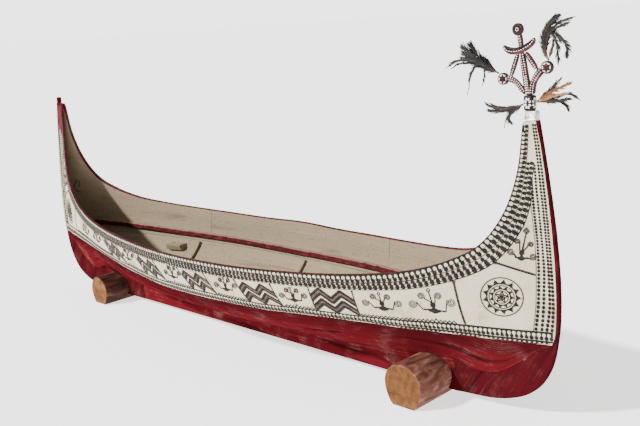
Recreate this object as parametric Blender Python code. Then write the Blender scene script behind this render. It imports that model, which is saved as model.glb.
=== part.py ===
# A two person plank canoe standing on two notched logs, with a carved prow figure and feathers.
# Metres. +X is the bow, +Y is port, +Z is up, and the floor is z = 0.
# Every hull size below is measured from the middle of the keel's underside. One empty,
# hull_frame, then places the whole boat over the origin, at the height that the logs give it.

import math

import bpy
import numpy as np
from mathutils import Vector

keelLift = 0.030
plankThickness = 0.013
seamGap = 0.0004
seatGap = 0.0005
notchGap = 0.0009
buttGap = 0.0006
middleGap = 0.0008
slopeStep = 0.05
turnReach = 1.6
footRise = 1.06
keelHalfTop = 0.0220
keelHalfFoot = 0.0185
keelRise = 0.012
keelJointX = 0.95
stemHalfEdge = 0.0105
postTopZ = 1.190
sternReach = 1.795
foreReach = 1.883
hullShift = (sternReach - foreReach) / 2

# Half of the hull, from the middle to the stem, as the boat's own offset table. The station
# lines run up the outer face from the keel's side to the gunwale. Each entry is x, half-breadth
# and height. The last station is the end of each plank on the stem, and the one before it is
# the rising tip of the gunwale.
offsets = {
    "garboardFoot": (
        (0.000, 0.0225, 0.082), (0.275, 0.0225, 0.082), (0.550, 0.0225, 0.083),
        (0.825, 0.0225, 0.086), (1.050, 0.0225, 0.090), (1.220, 0.0225, 0.095),
        (1.320, 0.0225, 0.100), (1.420, 0.0200, 0.086), (1.540, 0.0160, 0.085),
        (1.660, 0.0130, 0.130), (1.735, 0.0120, 0.200), (1.765, 0.0115, 0.230),
    ),
    "bilge": (
        (0.000, 0.225, 0.160), (0.275, 0.214, 0.161), (0.550, 0.188, 0.163),
        (0.825, 0.145, 0.166), (1.050, 0.098, 0.168), (1.220, 0.060, 0.166),
        (1.320, 0.041, 0.157), (1.420, 0.030, 0.126), (1.520, 0.022, 0.135),
        (1.620, 0.016, 0.194), (1.700, 0.014, 0.258), (1.760, 0.013, 0.284),
    ),
    "bandFoot": (
        (0.000, 0.385, 0.294), (0.275, 0.372, 0.297), (0.550, 0.337, 0.306),
        (0.825, 0.280, 0.316), (1.060, 0.222, 0.322), (1.265, 0.167, 0.328),
        (1.430, 0.120, 0.325), (1.560, 0.080, 0.318), (1.655, 0.049, 0.311),
        (1.705, 0.031, 0.307), (1.740, 0.020, 0.306), (1.768, 0.013, 0.306),
    ),
    "gunwale": (
        (0.000, 0.426, 0.492), (0.275, 0.405, 0.490), (0.550, 0.373, 0.498),
        (0.825, 0.324, 0.511), (1.045, 0.269, 0.530), (1.232, 0.211, 0.559),
        (1.386, 0.158, 0.609), (1.507, 0.111, 0.679), (1.590, 0.068, 0.800),
        (1.634, 0.036, 0.950), (1.652, 0.015, 1.150), (1.706, 0.013, 1.155),
    ),
}
stationLines = ("garboardFoot", "bilge", "bandFoot", "gunwale")
tipStation = 10
lastStation = 11
garboardEnd = 6
stationStep = 0.5
bowedFrom = 7
stemBow = 0.024

stemFoot = {"stations": (0.825, 1.05, 1.22, 1.32), "places": (keelJointX, 1.05, 1.19, 1.32)}
stemShape = {
    "edgeShare": 3.62, "taperRate": 1.5, "shoulder": 0.010, "inset": 0.001, "half": 0.0125,
    "lift": 0.03, "postGap": 0.0004,
}

# The stem's outer edge in side view, x and height, from the end of the straight keel upward.
stemEdge = (
    (1.310, 0.000), (1.546, 0.024), (1.679, 0.084), (1.750, 0.180), (1.788, 0.336),
    (1.795, 0.504), (1.782, 0.696), (1.757, 0.888), (1.730, 1.056), (1.706, 1.190),
)

# Each layer of planks: the two lines that it lies between, the station of its butt joints,
# and how many facets it has up its width.
strakes = {
    "garboard": {"low": 0, "joint": 2.0, "rows": 2, "end": garboardEnd},
    "bilge": {"low": 1, "joint": 3.0, "rows": 2, "end": lastStation},
    "topside": {"low": 2, "joint": 2.5, "rows": 4, "end": lastStation},
}

rail = {
    "depth": 0.022, "height": 0.028, "gap": 0.0008, "end": 7.5, "joint": 2.0, "clear": 0.004,
    "least": 0.006,
}
railTop = ((0, 0.346), (1, 0.352), (2, 0.362), (3.5, 0.378), (4.5, 0.390), (5.5, 0.400), (8, 0.412))
shelf = {
    "thickness": 0.016, "gap": 0.0012, "end": 9.0, "below": 0.003, "rise": 0.010, "least": 0.004,
}
rib = {
    "width": 0.040, "depth": 0.016, "gap": 0.0006, "foot": 0.0, "head": 1.95, "keelGap": 0.0005,
}
ribPlaces = {"aft": -0.765, "middle": 0.045, "fore": 0.852}
lug = {
    "x": -0.898, "length": 0.105, "low": 0.262, "high": 0.298, "depth": 0.034, "gap": 0.0008,
    "topShare": 0.85, "footShare": 0.55,
}

# The logs lie across the boat. Half-length is along Y. The underside is hewn flat, and flatHalf
# is half of its width.
logs = {
    "log_bow": {
        "x": 1.200, "radius": 0.097, "centre": 0.062, "halfLength": 0.235, "flatHalf": 0.056,
        "turn": 0.5,
    },
    "log_stern": {
        "x": -1.190, "radius": 0.083, "centre": 0.053, "halfLength": 0.178, "flatHalf": 0.046,
        "turn": 2.1,
    },
}
logSides = 28
logUneven = {"height": 0.02, "waves": 3, "cornerWidth": 0.35}
notch = {"firstStation": 3, "top": 0.5, "heights": (0.5, 1, 1.5, 2)}

# The carved prow figure stands in the boat's middle plane. Places are x and height, and each
# shape of the board has its own thickness, so that no two of them share a face.
prowOutlines = {
    "arms": (0.0120, (
        (1.653, 1.2475), (1.637, 1.260), (1.624, 1.278), (1.610, 1.290), (1.580, 1.298),
        (1.580, 1.320), (1.600, 1.316), (1.622, 1.304), (1.641, 1.286), (1.652, 1.270),
        (1.674, 1.270), (1.679, 1.294), (1.691, 1.316), (1.716, 1.352), (1.740, 1.332),
        (1.708, 1.302), (1.699, 1.276), (1.698, 1.2475),
    )),
    "mast": (0.0140, (
        (1.636, 1.402), (1.657, 1.402), (1.672, 1.306), (1.685, 1.256), (1.655, 1.256),
        (1.649, 1.306),
    )),
    "stay_aft": (0.0100, ((1.621, 1.402), (1.638, 1.398), (1.604, 1.309), (1.588, 1.314))),
    "stay_fore": (0.0104, ((1.653, 1.398), (1.668, 1.408), (1.714, 1.346), (1.700, 1.334))),
    "neck": (0.0116, ((1.626, 1.472), (1.646, 1.472), (1.652, 1.416), (1.634, 1.416))),
    "crescent": (0.0130, (
        (1.563, 1.434), (1.573, 1.408), (1.594, 1.395), (1.628, 1.394), (1.658, 1.404),
        (1.687, 1.420), (1.702, 1.438), (1.697, 1.457), (1.685, 1.444), (1.666, 1.433),
        (1.637, 1.422), (1.612, 1.418), (1.586, 1.422),
    )),
}
prowHead = {"centre": (1.630, 1.485), "radius": 0.0225, "thickness": 0.0150}
discs = {
    "prow_disc_aft": {"centre": (1.565, 1.306), "radius": 0.0225, "thickness": 0.0160},
    "prow_disc_fore": {"centre": (1.748, 1.347), "radius": 0.0235, "thickness": 0.0160},
}
prowBlock = {"low": (1.657, -0.0175, 1.1905), "high": (1.695, 0.0175, 1.2470), "bevel": 0.005}
postAft = 1.686
postFore = 1.708
wrap = {"low": 1.1560, "high": 1.1900, "aft": 1.654, "fore": 1.7118, "half": 0.0150, "taper": 0.006}

# Feather bunches: where each is tied, where it reaches, and its half widths. The profile gives
# the share of the length and of the width.
bunchProfile = ((0.0, 0.08), (0.12, 0.28), (0.35, 0.75), (0.6, 1.0), (0.85, 0.8), (1.0, 0.35))
bunchSides = 10
feathers = {
    "feathers_aft_high": {
        "root": (1.5475, 0.0, 1.3255), "tip": (1.330, 0.0, 1.345), "wide": 0.060, "deep": 0.040,
    },
    "feathers_fore_high": {
        "root": (1.7535, 0.0, 1.3705), "tip": (1.810, 0.0, 1.535), "wide": 0.050, "deep": 0.036,
    },
    "feathers_aft_low": {
        "root": (1.6561, 0.0, 1.2150), "tip": (1.492, 0.0, 1.185), "wide": 0.034, "deep": 0.030,
    },
    "feathers_fore_low": {
        "root": (1.6962, 0.0, 1.2200), "tip": (1.880, 0.0, 1.252), "wide": 0.048, "deep": 0.040,
    },
}

colours = {
    "redPaint": {"colour": (0.25, 0.012, 0.022), "roughness": 0.55, "metallic": 0.0},
    "bandPaint": {"colour": (0.68, 0.64, 0.55), "roughness": 0.60, "metallic": 0.0},
    "tanPaint": {"colour": (0.47, 0.38, 0.26), "roughness": 0.65, "metallic": 0.0},
    "darkRed": {"colour": (0.16, 0.012, 0.016), "roughness": 0.60, "metallic": 0.0},
    "logWood": {"colour": (0.20, 0.08, 0.045), "roughness": 0.80, "metallic": 0.0},
    "silver": {"colour": (0.62, 0.62, 0.63), "roughness": 0.35, "metallic": 1.0},
    "feather": {"colour": (0.04, 0.033, 0.03), "roughness": 0.75, "metallic": 0.0},
}


def material(name):
    found = bpy.data.materials.get(name)
    if found:
        return found
    made = bpy.data.materials.new(name)
    made.use_nodes = True
    shader = made.node_tree.nodes["Principled BSDF"]
    finish = colours[name]
    shader.inputs["Base Color"].default_value = (*finish["colour"], 1.0)
    shader.inputs["Roughness"].default_value = finish["roughness"]
    shader.inputs["Metallic"].default_value = finish["metallic"]
    made.diffuse_color = (*finish["colour"], 1.0)
    return made


def addSolid(name, points, faces, finish, frame, smooth=30):
    """One closed body, its faces turned outward."""
    mesh = bpy.data.meshes.new(name)
    mesh.from_pydata([tuple(p) for p in points], [], faces)
    corners = np.array([tuple(p) for p in points])
    mesh.calc_loop_triangles()
    triangles = np.array([tuple(t.vertices) for t in mesh.loop_triangles])
    if np.linalg.det(corners[triangles]).sum() < 0:
        mesh.flip_normals()
    mesh.materials.append(material(finish))
    mesh.shade_smooth()
    mesh.set_sharp_from_angle(angle=math.radians(smooth))
    made = bpy.data.objects.new(name, mesh)
    made.parent = frame
    bpy.context.scene.collection.objects.link(made)
    return made


def smoothPoint(points, place, last):
    """A point on the smooth line through the points. The line is straight beyond the last one."""
    first = min(int(place), len(points) - 2)
    part = place - first
    here, there = Vector(points[first]), Vector(points[first + 1])
    step = there - here
    if first >= last or step.length < 1e-6:
        return here + step * part

    def direction(index):
        before = Vector(points[index]) - Vector(points[index - 1]) if index > 0 else step
        after = step
        if index + 1 < len(points) and index < last:
            after = Vector(points[index + 1]) - Vector(points[index])
        if index >= last:
            after = before
        return (before.normalized() + after.normalized()).normalized()

    def pull(index):
        """How strongly the line turns at a point: no more than its shorter side allows."""
        sides = [step.length]
        for one, other in ((index - 1, index), (index, index + 1)):
            if one >= 0 and other < len(points):
                sides.append(turnReach * (Vector(points[other]) - Vector(points[one])).length)
        return min(sides)

    startWay = (direction(first) if first > 0 else step.normalized()) * pull(first)
    endWay = direction(first + 1) * pull(first + 1)
    h1 = 2 * part**3 - 3 * part**2 + 1
    h2 = part**3 - 2 * part**2 + part
    h3 = -2 * part**3 + 3 * part**2
    h4 = part**3 - part**2
    return here * h1 + startWay * h2 + there * h3 + endWay * h4


def mirroredLine(name):
    """The station line along the whole boat, from the stern's last station to the bow's."""
    half = [Vector(p) for p in offsets[name]]
    aft = [Vector((-p.x, p.y, p.z)) for p in reversed(half[1:])]
    return aft + half


wholeLines = {name: mirroredLine(name) for name in stationLines}


def lineAt(name, station):
    """Outer face on one station line. Stations run from -11 at the stern to 11 at the bow."""
    if abs(station) > tipStation:
        point = Vector(offsets[name][lastStation])
        return Vector((math.copysign(point.x, station), point.y, point.z))
    points = wholeLines[name][1:-1]
    return smoothPoint(points, station + tipStation, 2 * tipStation + 1)


def section(station, height):
    """A station's section. The stem's curve bows the last sections toward the boat's end."""
    lines = [lineAt(name, station) for name in stationLines]
    point = smoothPoint(lines, height, len(lines))
    if height > 2:
        near = max(0.0, (abs(station) - bowedFrom) / (lastStation - bowedFrom))
        bow = 4 * stemBow * near * (height - 2) * (3 - height)
        point = point + Vector((math.copysign(bow, station), 0, 0))
    return point


def skin(station, height):
    """Outer face at a height of 0 at the keel's side, 1 at the bilge, 2 at the band, 3 at the top.
    Past the tip of the gunwale it runs straight to the stem."""
    away = abs(station)
    if away <= tipStation:
        return section(station, height)
    tip = section(math.copysign(tipStation, station), height)
    stem = section(math.copysign(lastStation, station), height)
    return tip.lerp(stem, away - tipStation)


def outward(station, height):
    ahead = min(station + slopeStep, lastStation)
    behind = max(station - slopeStep, -lastStation)
    up = min(height + slopeStep, 3)
    down = max(height - slopeStep, 0)
    along = skin(ahead, height) - skin(behind, height)
    across = skin(station, up) - skin(station, down)
    normal = along.cross(across).normalized()
    return normal if normal.y > 0 else -normal


def lining(station, height, depth=plankThickness):
    """Inner face. Near the stems the two sides meet, so each stops at the middle plane."""
    point = skin(station, height)
    if height <= 0:
        return Vector((point.x, point.y, point.z + depth * footRise))
    inner = point - outward(station, height) * depth
    return Vector((inner.x, max(inner.y, middleGap), inner.z))


def steps(start, end, size):
    count = round((end - start) / size)
    return [start + (end - start) * i / count for i in range(count + 1)]


def mirrored(point, side):
    return Vector((point.x, point.y * side, point.z))


def gridFaces(columns, rows):
    """Faces of a solid made of an outer grid and an inner grid of the same size. All of them are
    split along the same diagonal, so that the faces of a seam or a seat lie parallel."""
    count = columns * rows
    faces = []
    for i in range(columns - 1):
        for j in range(rows - 1):
            a = i * rows + j
            b = a + rows
            faces += [(a, b, b + 1), (a, b + 1, a + 1)]
            inner, there = count + a, count + b
            faces += [(inner, inner + 1, there + 1), (inner, there + 1, there)]
        a = i * rows
        b = a + rows
        faces += [(b, a, count + b), (a, count + a, count + b)]
        a += rows - 1
        b += rows - 1
        faces += [(a, b, count + b), (a, count + b, count + a)]
    last = (columns - 1) * rows
    for j in range(rows - 1):
        faces.append((j, j + 1, count + j + 1, count + j))
        faces.append((last + j + 1, last + j, count + last + j, count + last + j + 1))
    return faces


def plank(name, strake, start, end, side, frame):
    """One plank between two station lines, pulled back from its neighbours by half a seam."""
    low = strake["low"]
    stations = steps(start, end, stationStep)
    heights = steps(low, low + 1, 1 / strake["rows"])
    outer = [[skin(s, h) for h in heights] for s in stations]
    inner = [[lining(s, h) for h in heights] for s in stations]
    for grid in (outer, inner):
        for column in grid:
            up = (column[-1] - column[0]).normalized() * seamGap / 2
            column[0] = column[0] + up
            column[-1] = column[-1] - up
        for edge, nextOne in ((0, 1), (-1, -2)):
            for j in range(len(heights)):
                away = (grid[nextOne][j] - grid[edge][j]).normalized()
                grid[edge][j] = grid[edge][j] + away * seamGap / 2
    points = [mirrored(p, side) for grid in (outer, inner) for column in grid for p in column]
    faces = gridFaces(len(stations), len(heights))
    finish = "bandPaint" if low == 2 else "redPaint"
    return addSolid(name, points, faces, finish, frame)


def stemEdgeAt(place):
    return smoothPoint([(x, 0, z) for x, z in stemEdge], place, len(stemEdge))


def stemEdgeAtHeight(z):
    """The stem's outer edge at one height, found by halving."""
    low, high = 0.0, len(stemEdge) - 1.0
    for _ in range(30):
        middle = (low + high) / 2
        if stemEdgeAt(middle).z < z:
            low = middle
        else:
            high = middle
    return stemEdgeAt(low)


def stemTimber(name, end, frame):
    """Keel end, forefoot and stem in one timber. Each rung has an outer, a middle and an inner
    point, and the two sides mirror each other."""
    rungs = []
    for x in stemFoot["places"]:
        top = lineAt("garboardFoot", np.interp(x, stemFoot["stations"], (3, 4, 5, 6))).z
        rungs.append(((x, keelHalfFoot, 0.0), (x, keelHalfTop - stemShape["inset"], top / 2),
                      (x, keelHalfTop, top + keelRise)))
    for station in steps(garboardEnd, lastStation, stationStep):
        inner = skin(station, 1)
        middle = skin(station, 0)
        share = (station - garboardEnd) / (lastStation - garboardEnd)
        edge = stemEdgeAt(stemShape["edgeShare"] * share)
        narrowing = min(1, stemShape["taperRate"] * share)
        half = keelHalfFoot + (stemHalfEdge - keelHalfFoot) * narrowing
        start, shoulder = 0.0, 0.0
        if station == garboardEnd:
            start, shoulder = buttGap, buttGap + stemShape["shoulder"]
        rungs.append(((edge.x + shoulder, half, edge.z), (middle.x + start, middle.y, middle.z),
                      (inner.x + start, inner.y, inner.z - seamGap)))
    for height in steps(1.5, 3, 0.25):
        inner = skin(lastStation, height)
        edge = stemEdgeAtHeight(inner.z + stemShape["lift"] * (3 - height))
        ends = (Vector((edge.x, stemHalfEdge, edge.z)), inner + Vector((seatGap, 0, 0)))
        middle = ends[0].lerp(ends[1], 0.5)
        rungs.append((ends[0], (middle.x, stemShape["half"], middle.z), ends[1]))
    for z in (wrap["low"] - stemShape["postGap"], postTopZ):
        rungs.append(((postFore, stemHalfEdge, z), ((postAft + postFore) / 2, stemHalfEdge, z),
                      (postAft, stemHalfEdge, z)))
    points = []
    for rung in rungs:
        for side in (1, -1):
            points += [(p[0] * end, p[1] * side, p[2]) for p in rung]
    faces = []
    for i in range(len(rungs) - 1):
        a, b = i * 6, i * 6 + 6
        for j in (0, 1):
            faces.append((a + j, a + j + 1, b + j + 1, b + j))
            faces.append((a + 3 + j, b + 3 + j, b + 4 + j, a + 4 + j))
        faces.append((a, b, b + 3, a + 3))
        faces.append((a + 2, a + 5, b + 5, b + 2))
    last = (len(rungs) - 1) * 6
    faces.append((0, 3, 4, 5, 2, 1))
    faces.append((last, last + 1, last + 2, last + 5, last + 4, last + 3))
    return addSolid(name, points, faces, "redPaint", frame)


def keelTimber(frame):
    half = keelJointX - seatGap
    top = offsets["garboardFoot"][0][2] + keelRise
    section = ((keelHalfFoot, 0.0), (keelHalfTop, top), (-keelHalfTop, top), (-keelHalfFoot, 0.0))
    points = [(x, y, z) for x in (-half, half) for y, z in section]
    faces = [(0, 1, 2, 3), (4, 7, 6, 5)]
    faces += [(i, i + 4, (i + 1) % 4 + 4, (i + 1) % 4) for i in range(4)]
    return addSolid("keel_middle", points, faces, "redPaint", frame)


def facetPoint(station, height, depth):
    """A point at a depth inside the planks' faceted outer face. Each facet is two triangles."""
    layer = list(strakes.values())[min(int(height + 1e-6), 2)]
    rows = layer["rows"]
    lowStation = math.floor(station / stationStep + 1e-6) * stationStep
    lowHeight = math.floor(height * rows + 1e-6) / rows
    along = (station - lowStation) / stationStep
    up = (height - lowHeight) * rows
    near = lining(lowStation, lowHeight, depth)
    if along < 1e-5 and up < 1e-5:
        return near
    farStation = min(lowStation + stationStep, lastStation)
    far = lining(farStation, min(lowHeight + 1 / rows, 3), depth)
    if up <= along:
        beside = lining(farStation, lowHeight, depth)
        return near + (beside - near) * along + (far - beside) * up
    above = lining(lowStation, min(lowHeight + 1 / rows, 3), depth)
    return near + (above - near) * up + (far - above) * along


def liningAtHeight(station, z, depth):
    """Where the faceted inner face has the height z, searched up the section."""
    low, high = 1.0, 3.0
    for _ in range(26):
        middle = (low + high) / 2
        if facetPoint(station, middle, depth).z < z:
            low = middle
        else:
            high = middle
    return facetPoint(station, low, depth)


def railHeight(station):
    return float(np.interp(abs(station), [s for s, _ in railTop], [z for _, z in railTop]))


def railSolid(name, first, end, side, frame):
    """A length of rail fitted inside the topside planks, a little above their seam."""
    points = []
    stations = steps(first, end, stationStep)
    depth = plankThickness + rail["gap"]
    for station in stations:
        top = railHeight(station)
        low = liningAtHeight(station, top - rail["height"], depth)
        high = liningAtHeight(station, top, depth)
        reach = max(min(rail["depth"], low.y - rail["clear"]), rail["least"])
        ring = [low, high, high - Vector((0, high.y - low.y + reach, 0)), low - Vector((0, reach, 0))]
        if station in (first, end):
            along = (skin(station + 0.5 * stationStep, 2) - skin(station, 2)).normalized()
            pulled = along * seamGap / 2 * (1 if station == first else -1)
            ring = [p + pulled for p in ring]
        points += [mirrored(p, side) for p in ring]
    faces = [(0, 1, 2, 3)]
    last = (len(stations) - 1) * 4
    faces.append((last, last + 3, last + 2, last + 1))
    for i in range(len(stations) - 1):
        a = i * 4
        faces += [(a + j, a + j + 4, a + (j + 1) % 4 + 4, a + (j + 1) % 4) for j in range(4)]
    return addSolid(name, points, faces, "redPaint", frame)


def shelfSolid(name, end, frame):
    """The pointed board that joins the two rails inside each end of the hull."""
    depth = plankThickness + shelf["gap"]
    stations = steps(rail["end"], shelf["end"], stationStep / 2)
    points = []
    for index, station in enumerate(stations):
        top = railHeight(rail["end"]) - shelf["below"] + shelf["rise"] * index / len(stations)
        edges = [liningAtHeight(station * end, z, depth) for z in (top - shelf["thickness"], top)]
        for point in edges:
            start = buttGap * end if index == 0 else 0.0
            y = max(point.y, shelf["least"])
            points += [(point.x + start, y, point.z), (point.x + start, -y, point.z)]
    faces = [(2, 3, 1, 0)]
    last = (len(stations) - 1) * 4
    faces.append((last, last + 1, last + 3, last + 2))
    for i in range(len(stations) - 1):
        a = i * 4
        for j, k in ((0, 1), (1, 3), (3, 2), (2, 0)):
            faces.append((a + j, a + k, a + k + 4, a + j + 4))
    return addSolid(name, points, faces, "darkRed", frame)


def stationOf(x, line="bilge"):
    """The station of one x on a line, found by halving."""
    low, high = -float(tipStation), float(tipStation)
    for _ in range(30):
        middle = (low + high) / 2
        if lineAt(line, middle).x < x:
            low = middle
        else:
            high = middle
    return low


def ribHeights(station):
    """Where one side of a rib bends: at each row of facets, and where it crosses their diagonal."""
    part = station / stationStep - math.floor(station / stationStep)
    facet = 1 / strakes["bilge"]["rows"]
    rows = [facet * i for i in range(4)]
    bends = rows + [row + facet * part for row in rows] + [rib["head"]]
    return sorted(h for h in bends if rib["foot"] <= h <= rib["head"])


def ribSolid(name, x, side, frame):
    """A flat rib on the inside, from beside the keel to just under the rail."""
    ends = [stationOf(x + rib["width"] * half) for half in (-0.5, 0.5)]
    depth = plankThickness + rib["gap"]
    points = []
    pairs = list(zip(ribHeights(ends[0]), ribHeights(ends[1])))
    for pair in pairs:
        back = [facetPoint(s, h, depth) for s, h in zip(ends, pair)]
        front = [facetPoint(s, h, depth + rib["depth"]) for s, h in zip(ends, pair)]
        if pair[0] == rib["foot"]:
            front = [Vector((p.x, p.y + rib["keelGap"], p.z)) for p in front]
            back = [Vector((p.x, p.y + rib["keelGap"], p.z)) for p in back]
        points += [mirrored(p, side) for p in (*back, *reversed(front))]
    faces = [(0, 1, 2, 3)]
    last = (len(pairs) - 1) * 4
    faces.append((last, last + 3, last + 2, last + 1))
    for i in range(len(pairs) - 1):
        a = i * 4
        faces += [(a + j, a + j + 4, a + (j + 1) % 4 + 4, a + (j + 1) % 4) for j in range(4)]
    return addSolid(name, points, faces, "tanPaint", frame)


def lugSolid(name, side, frame):
    """A carved lug on the inside of the bilge plank, to lash a thwart to."""
    depth = plankThickness + lug["gap"]
    ends = [stationOf(lug["x"] + lug["length"] * half, "bandFoot") for half in (-0.5, 0.5)]
    points = []
    for station in (ends[0], (ends[0] + ends[1]) / 2, ends[1]):
        low = liningAtHeight(station, lug["low"], depth)
        high = liningAtHeight(station, lug["high"], depth)
        out = Vector((0, lug["depth"], 0))
        level = high - Vector((0, high.y - low.y, 0))
        ring = (low, high, level - out * lug["topShare"], low - out * lug["footShare"])
        points += [mirrored(p, side) for p in ring]
    faces = [(0, 1, 2, 3), (8, 11, 10, 9)]
    for i in range(2):
        a = i * 4
        faces += [(a + j, a + j + 4, a + (j + 1) % 4 + 4, a + (j + 1) % 4) for j in range(4)]
    return addSolid(name, points, faces, "tanPaint", frame)


def hullCutter(name, end, frame):
    """The hull's own shape from the keel up, a seat gap larger, to notch a log with. Its facets are
    split as those of the planks are."""
    stationsOver = steps(notch["firstStation"], garboardEnd, stationStep)
    stations = sorted(station * end for station in stationsOver)
    points = []
    count = 0
    for station in stations:
        foot = skin(station, 0)
        side = [Vector((foot.x, keelHalfTop + seatGap, -seatGap)),
                Vector((foot.x, foot.y + seatGap, foot.z - seatGap))]
        for height in notch["heights"]:
            away = outward(station, height) * notchGap
            side.append(skin(station, height) + away)
        side.append(Vector((side[-1].x, side[-1].y, notch["top"])))
        ring = side + [mirrored(p, -1) for p in reversed(side)]
        count = len(ring)
        points += ring
    faces = [tuple(range(count)), tuple(reversed(range(len(points) - count, len(points))))]
    for i in range(len(stations) - 1):
        a = i * count
        b = a + count
        for j in range(count):
            k = (j + 1) % count
            if j < count // 2:
                faces += [(a + j, b + j, b + k), (a + j, b + k, a + k)]
            else:
                faces += [(a + j, b + j, a + k), (b + j, b + k, a + k)]
    made = addSolid(name, points, faces, "redPaint", frame)
    made.hide_render = True
    made.display_type = "WIRE"
    return made


def logSolid(name, size, frame):
    """A short round log with a flat underside, notched to the hull and its keel."""
    radius, centre = size["radius"], size["centre"]
    start = math.atan2(-keelLift - centre, size["flatHalf"])
    cornerReach = math.hypot(size["flatHalf"], keelLift + centre) / radius - 1
    ring = []
    for i in range(logSides):
        share = i / (logSides - 1)
        angle = start + (math.pi - 2 * start) * share
        near = [(angle - at) / logUneven["cornerWidth"] for at in (start, math.pi - start)]
        corner = sum(math.exp(-(away**2)) for away in near)
        wave = math.sin(logUneven["waves"] * angle + size["turn"])
        uneven = logUneven["height"] * math.sin(math.pi * share) * wave
        reach = radius * (1 + cornerReach * corner + uneven)
        ring.append((size["x"] + reach * math.cos(angle), centre + reach * math.sin(angle)))
    points = [(x, y, z) for y in (-size["halfLength"], size["halfLength"]) for x, z in ring]
    count = len(ring)
    faces = [tuple(range(count)), tuple(reversed(range(count, 2 * count)))]
    faces += [(i, i + count, (i + 1) % count + count, (i + 1) % count) for i in range(count)]
    made = addSolid(name, points, faces, "logWood", frame)
    cutter = hullCutter("notch_" + name, 1 if size["x"] > 0 else -1, frame)
    cutWith(made, cutter, "DIFFERENCE")
    return made


def cutWith(made, other, operation):
    step = made.modifiers.new(other.name, "BOOLEAN")
    step.operation = operation
    step.solver = "EXACT"
    step.object = other
    other.hide_render = True
    other.display_type = "WIRE"


def slab(name, outline, thickness, frame):
    """A flat piece in the middle plane, cut to an outline of x and height."""
    half = thickness / 2
    points = [(x, y, z) for y in (-half, half) for x, z in outline]
    count = len(outline)
    faces = [tuple(range(count)), tuple(reversed(range(count, 2 * count)))]
    faces += [(i, i + count, (i + 1) % count + count, (i + 1) % count) for i in range(count)]
    return addSolid(name, points, faces, "darkRed", frame)


def roundOutline(centre, radius, sides=20):
    turns = [2 * math.pi * i / sides for i in range(sides)]
    return [(centre[0] + radius * math.cos(t), centre[1] + radius * math.sin(t)) for t in turns]


def prowBoard(frame):
    """The figure: mast, stays, upturned crescent and ring head, joined into one carved board."""
    board = slab("prow_board", prowOutlines["arms"][1], prowOutlines["arms"][0], frame)
    for part, (thickness, outline) in prowOutlines.items():
        if part != "arms":
            cutWith(board, slab("shape_" + part, outline, thickness, frame), "UNION")
    head = slab("shape_head", roundOutline(prowHead["centre"], prowHead["radius"]),
                prowHead["thickness"], frame)
    cutWith(board, head, "UNION")
    for name, disc in discs.items():
        hole = slab("seat_" + name, roundOutline(disc["centre"], disc["radius"] + seatGap),
                    2 * disc["thickness"], frame)
        cutWith(board, hole, "DIFFERENCE")


def prowDiscs(frame):
    for name, disc in discs.items():
        slab(name, roundOutline(disc["centre"], disc["radius"]), disc["thickness"], frame)


def boxSolid(name, low, high, finish, frame, bevel=0.0, taper=0.0):
    """An upright box between two corners. A taper draws in its top on the side toward midships."""
    points = []
    for z in (low[2], high[2]):
        aft = low[0] + (taper if z == high[2] else 0.0)
        points += [(aft, low[1], z), (high[0], low[1], z), (high[0], high[1], z), (aft, high[1], z)]
    faces = [(0, 3, 2, 1), (4, 5, 6, 7)]
    faces += [(i, (i + 1) % 4, (i + 1) % 4 + 4, i + 4) for i in range(4)]
    made = addSolid(name, points, faces, finish, frame)
    if bevel:
        edge = made.modifiers.new("edge", "BEVEL")
        edge.width = bevel
        edge.segments = 2
    return made


def wrapBand(frame):
    """The bright binding round the head of the stem, above the tips of the planks."""
    band = boxSolid("stem_wrap", (wrap["aft"], -wrap["half"], wrap["low"]),
                    (wrap["fore"], wrap["half"], wrap["high"]), "silver", frame, taper=wrap["taper"])
    clear = stemHalfEdge + seatGap
    socket = boxSolid("socket_wrap", (postAft - seatGap, -clear, wrap["low"] - 0.01),
                      (postFore + seatGap, clear, wrap["high"] + 0.01), "silver", frame)
    cutWith(band, socket, "DIFFERENCE")


def featherBunch(name, size, frame):
    """A soft bunch: a pointed root at the tie, wide past the middle, rounded at the far end."""
    root, tip = Vector(size["root"]), Vector(size["tip"])
    along = tip - root
    wide = along.normalized().cross(Vector((0, 1, 0)))
    deep = Vector((0, 1, 0))
    sides = bunchSides
    points = []
    for share, width in bunchProfile:
        middle = root + along * share
        for i in range(sides):
            turn = 2 * math.pi * i / sides
            points.append(middle + wide * math.cos(turn) * size["wide"] * width
                          + deep * math.sin(turn) * size["deep"] * width)
    faces = [tuple(range(sides)), tuple(reversed(range(len(points) - sides, len(points))))]
    for i in range(len(bunchProfile) - 1):
        a = i * sides
        for j in range(sides):
            k = (j + 1) % sides
            faces.append((a + j, a + j + sides, a + k + sides, a + k))
    return addSolid(name, points, faces, "feather", frame, 60)


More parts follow.
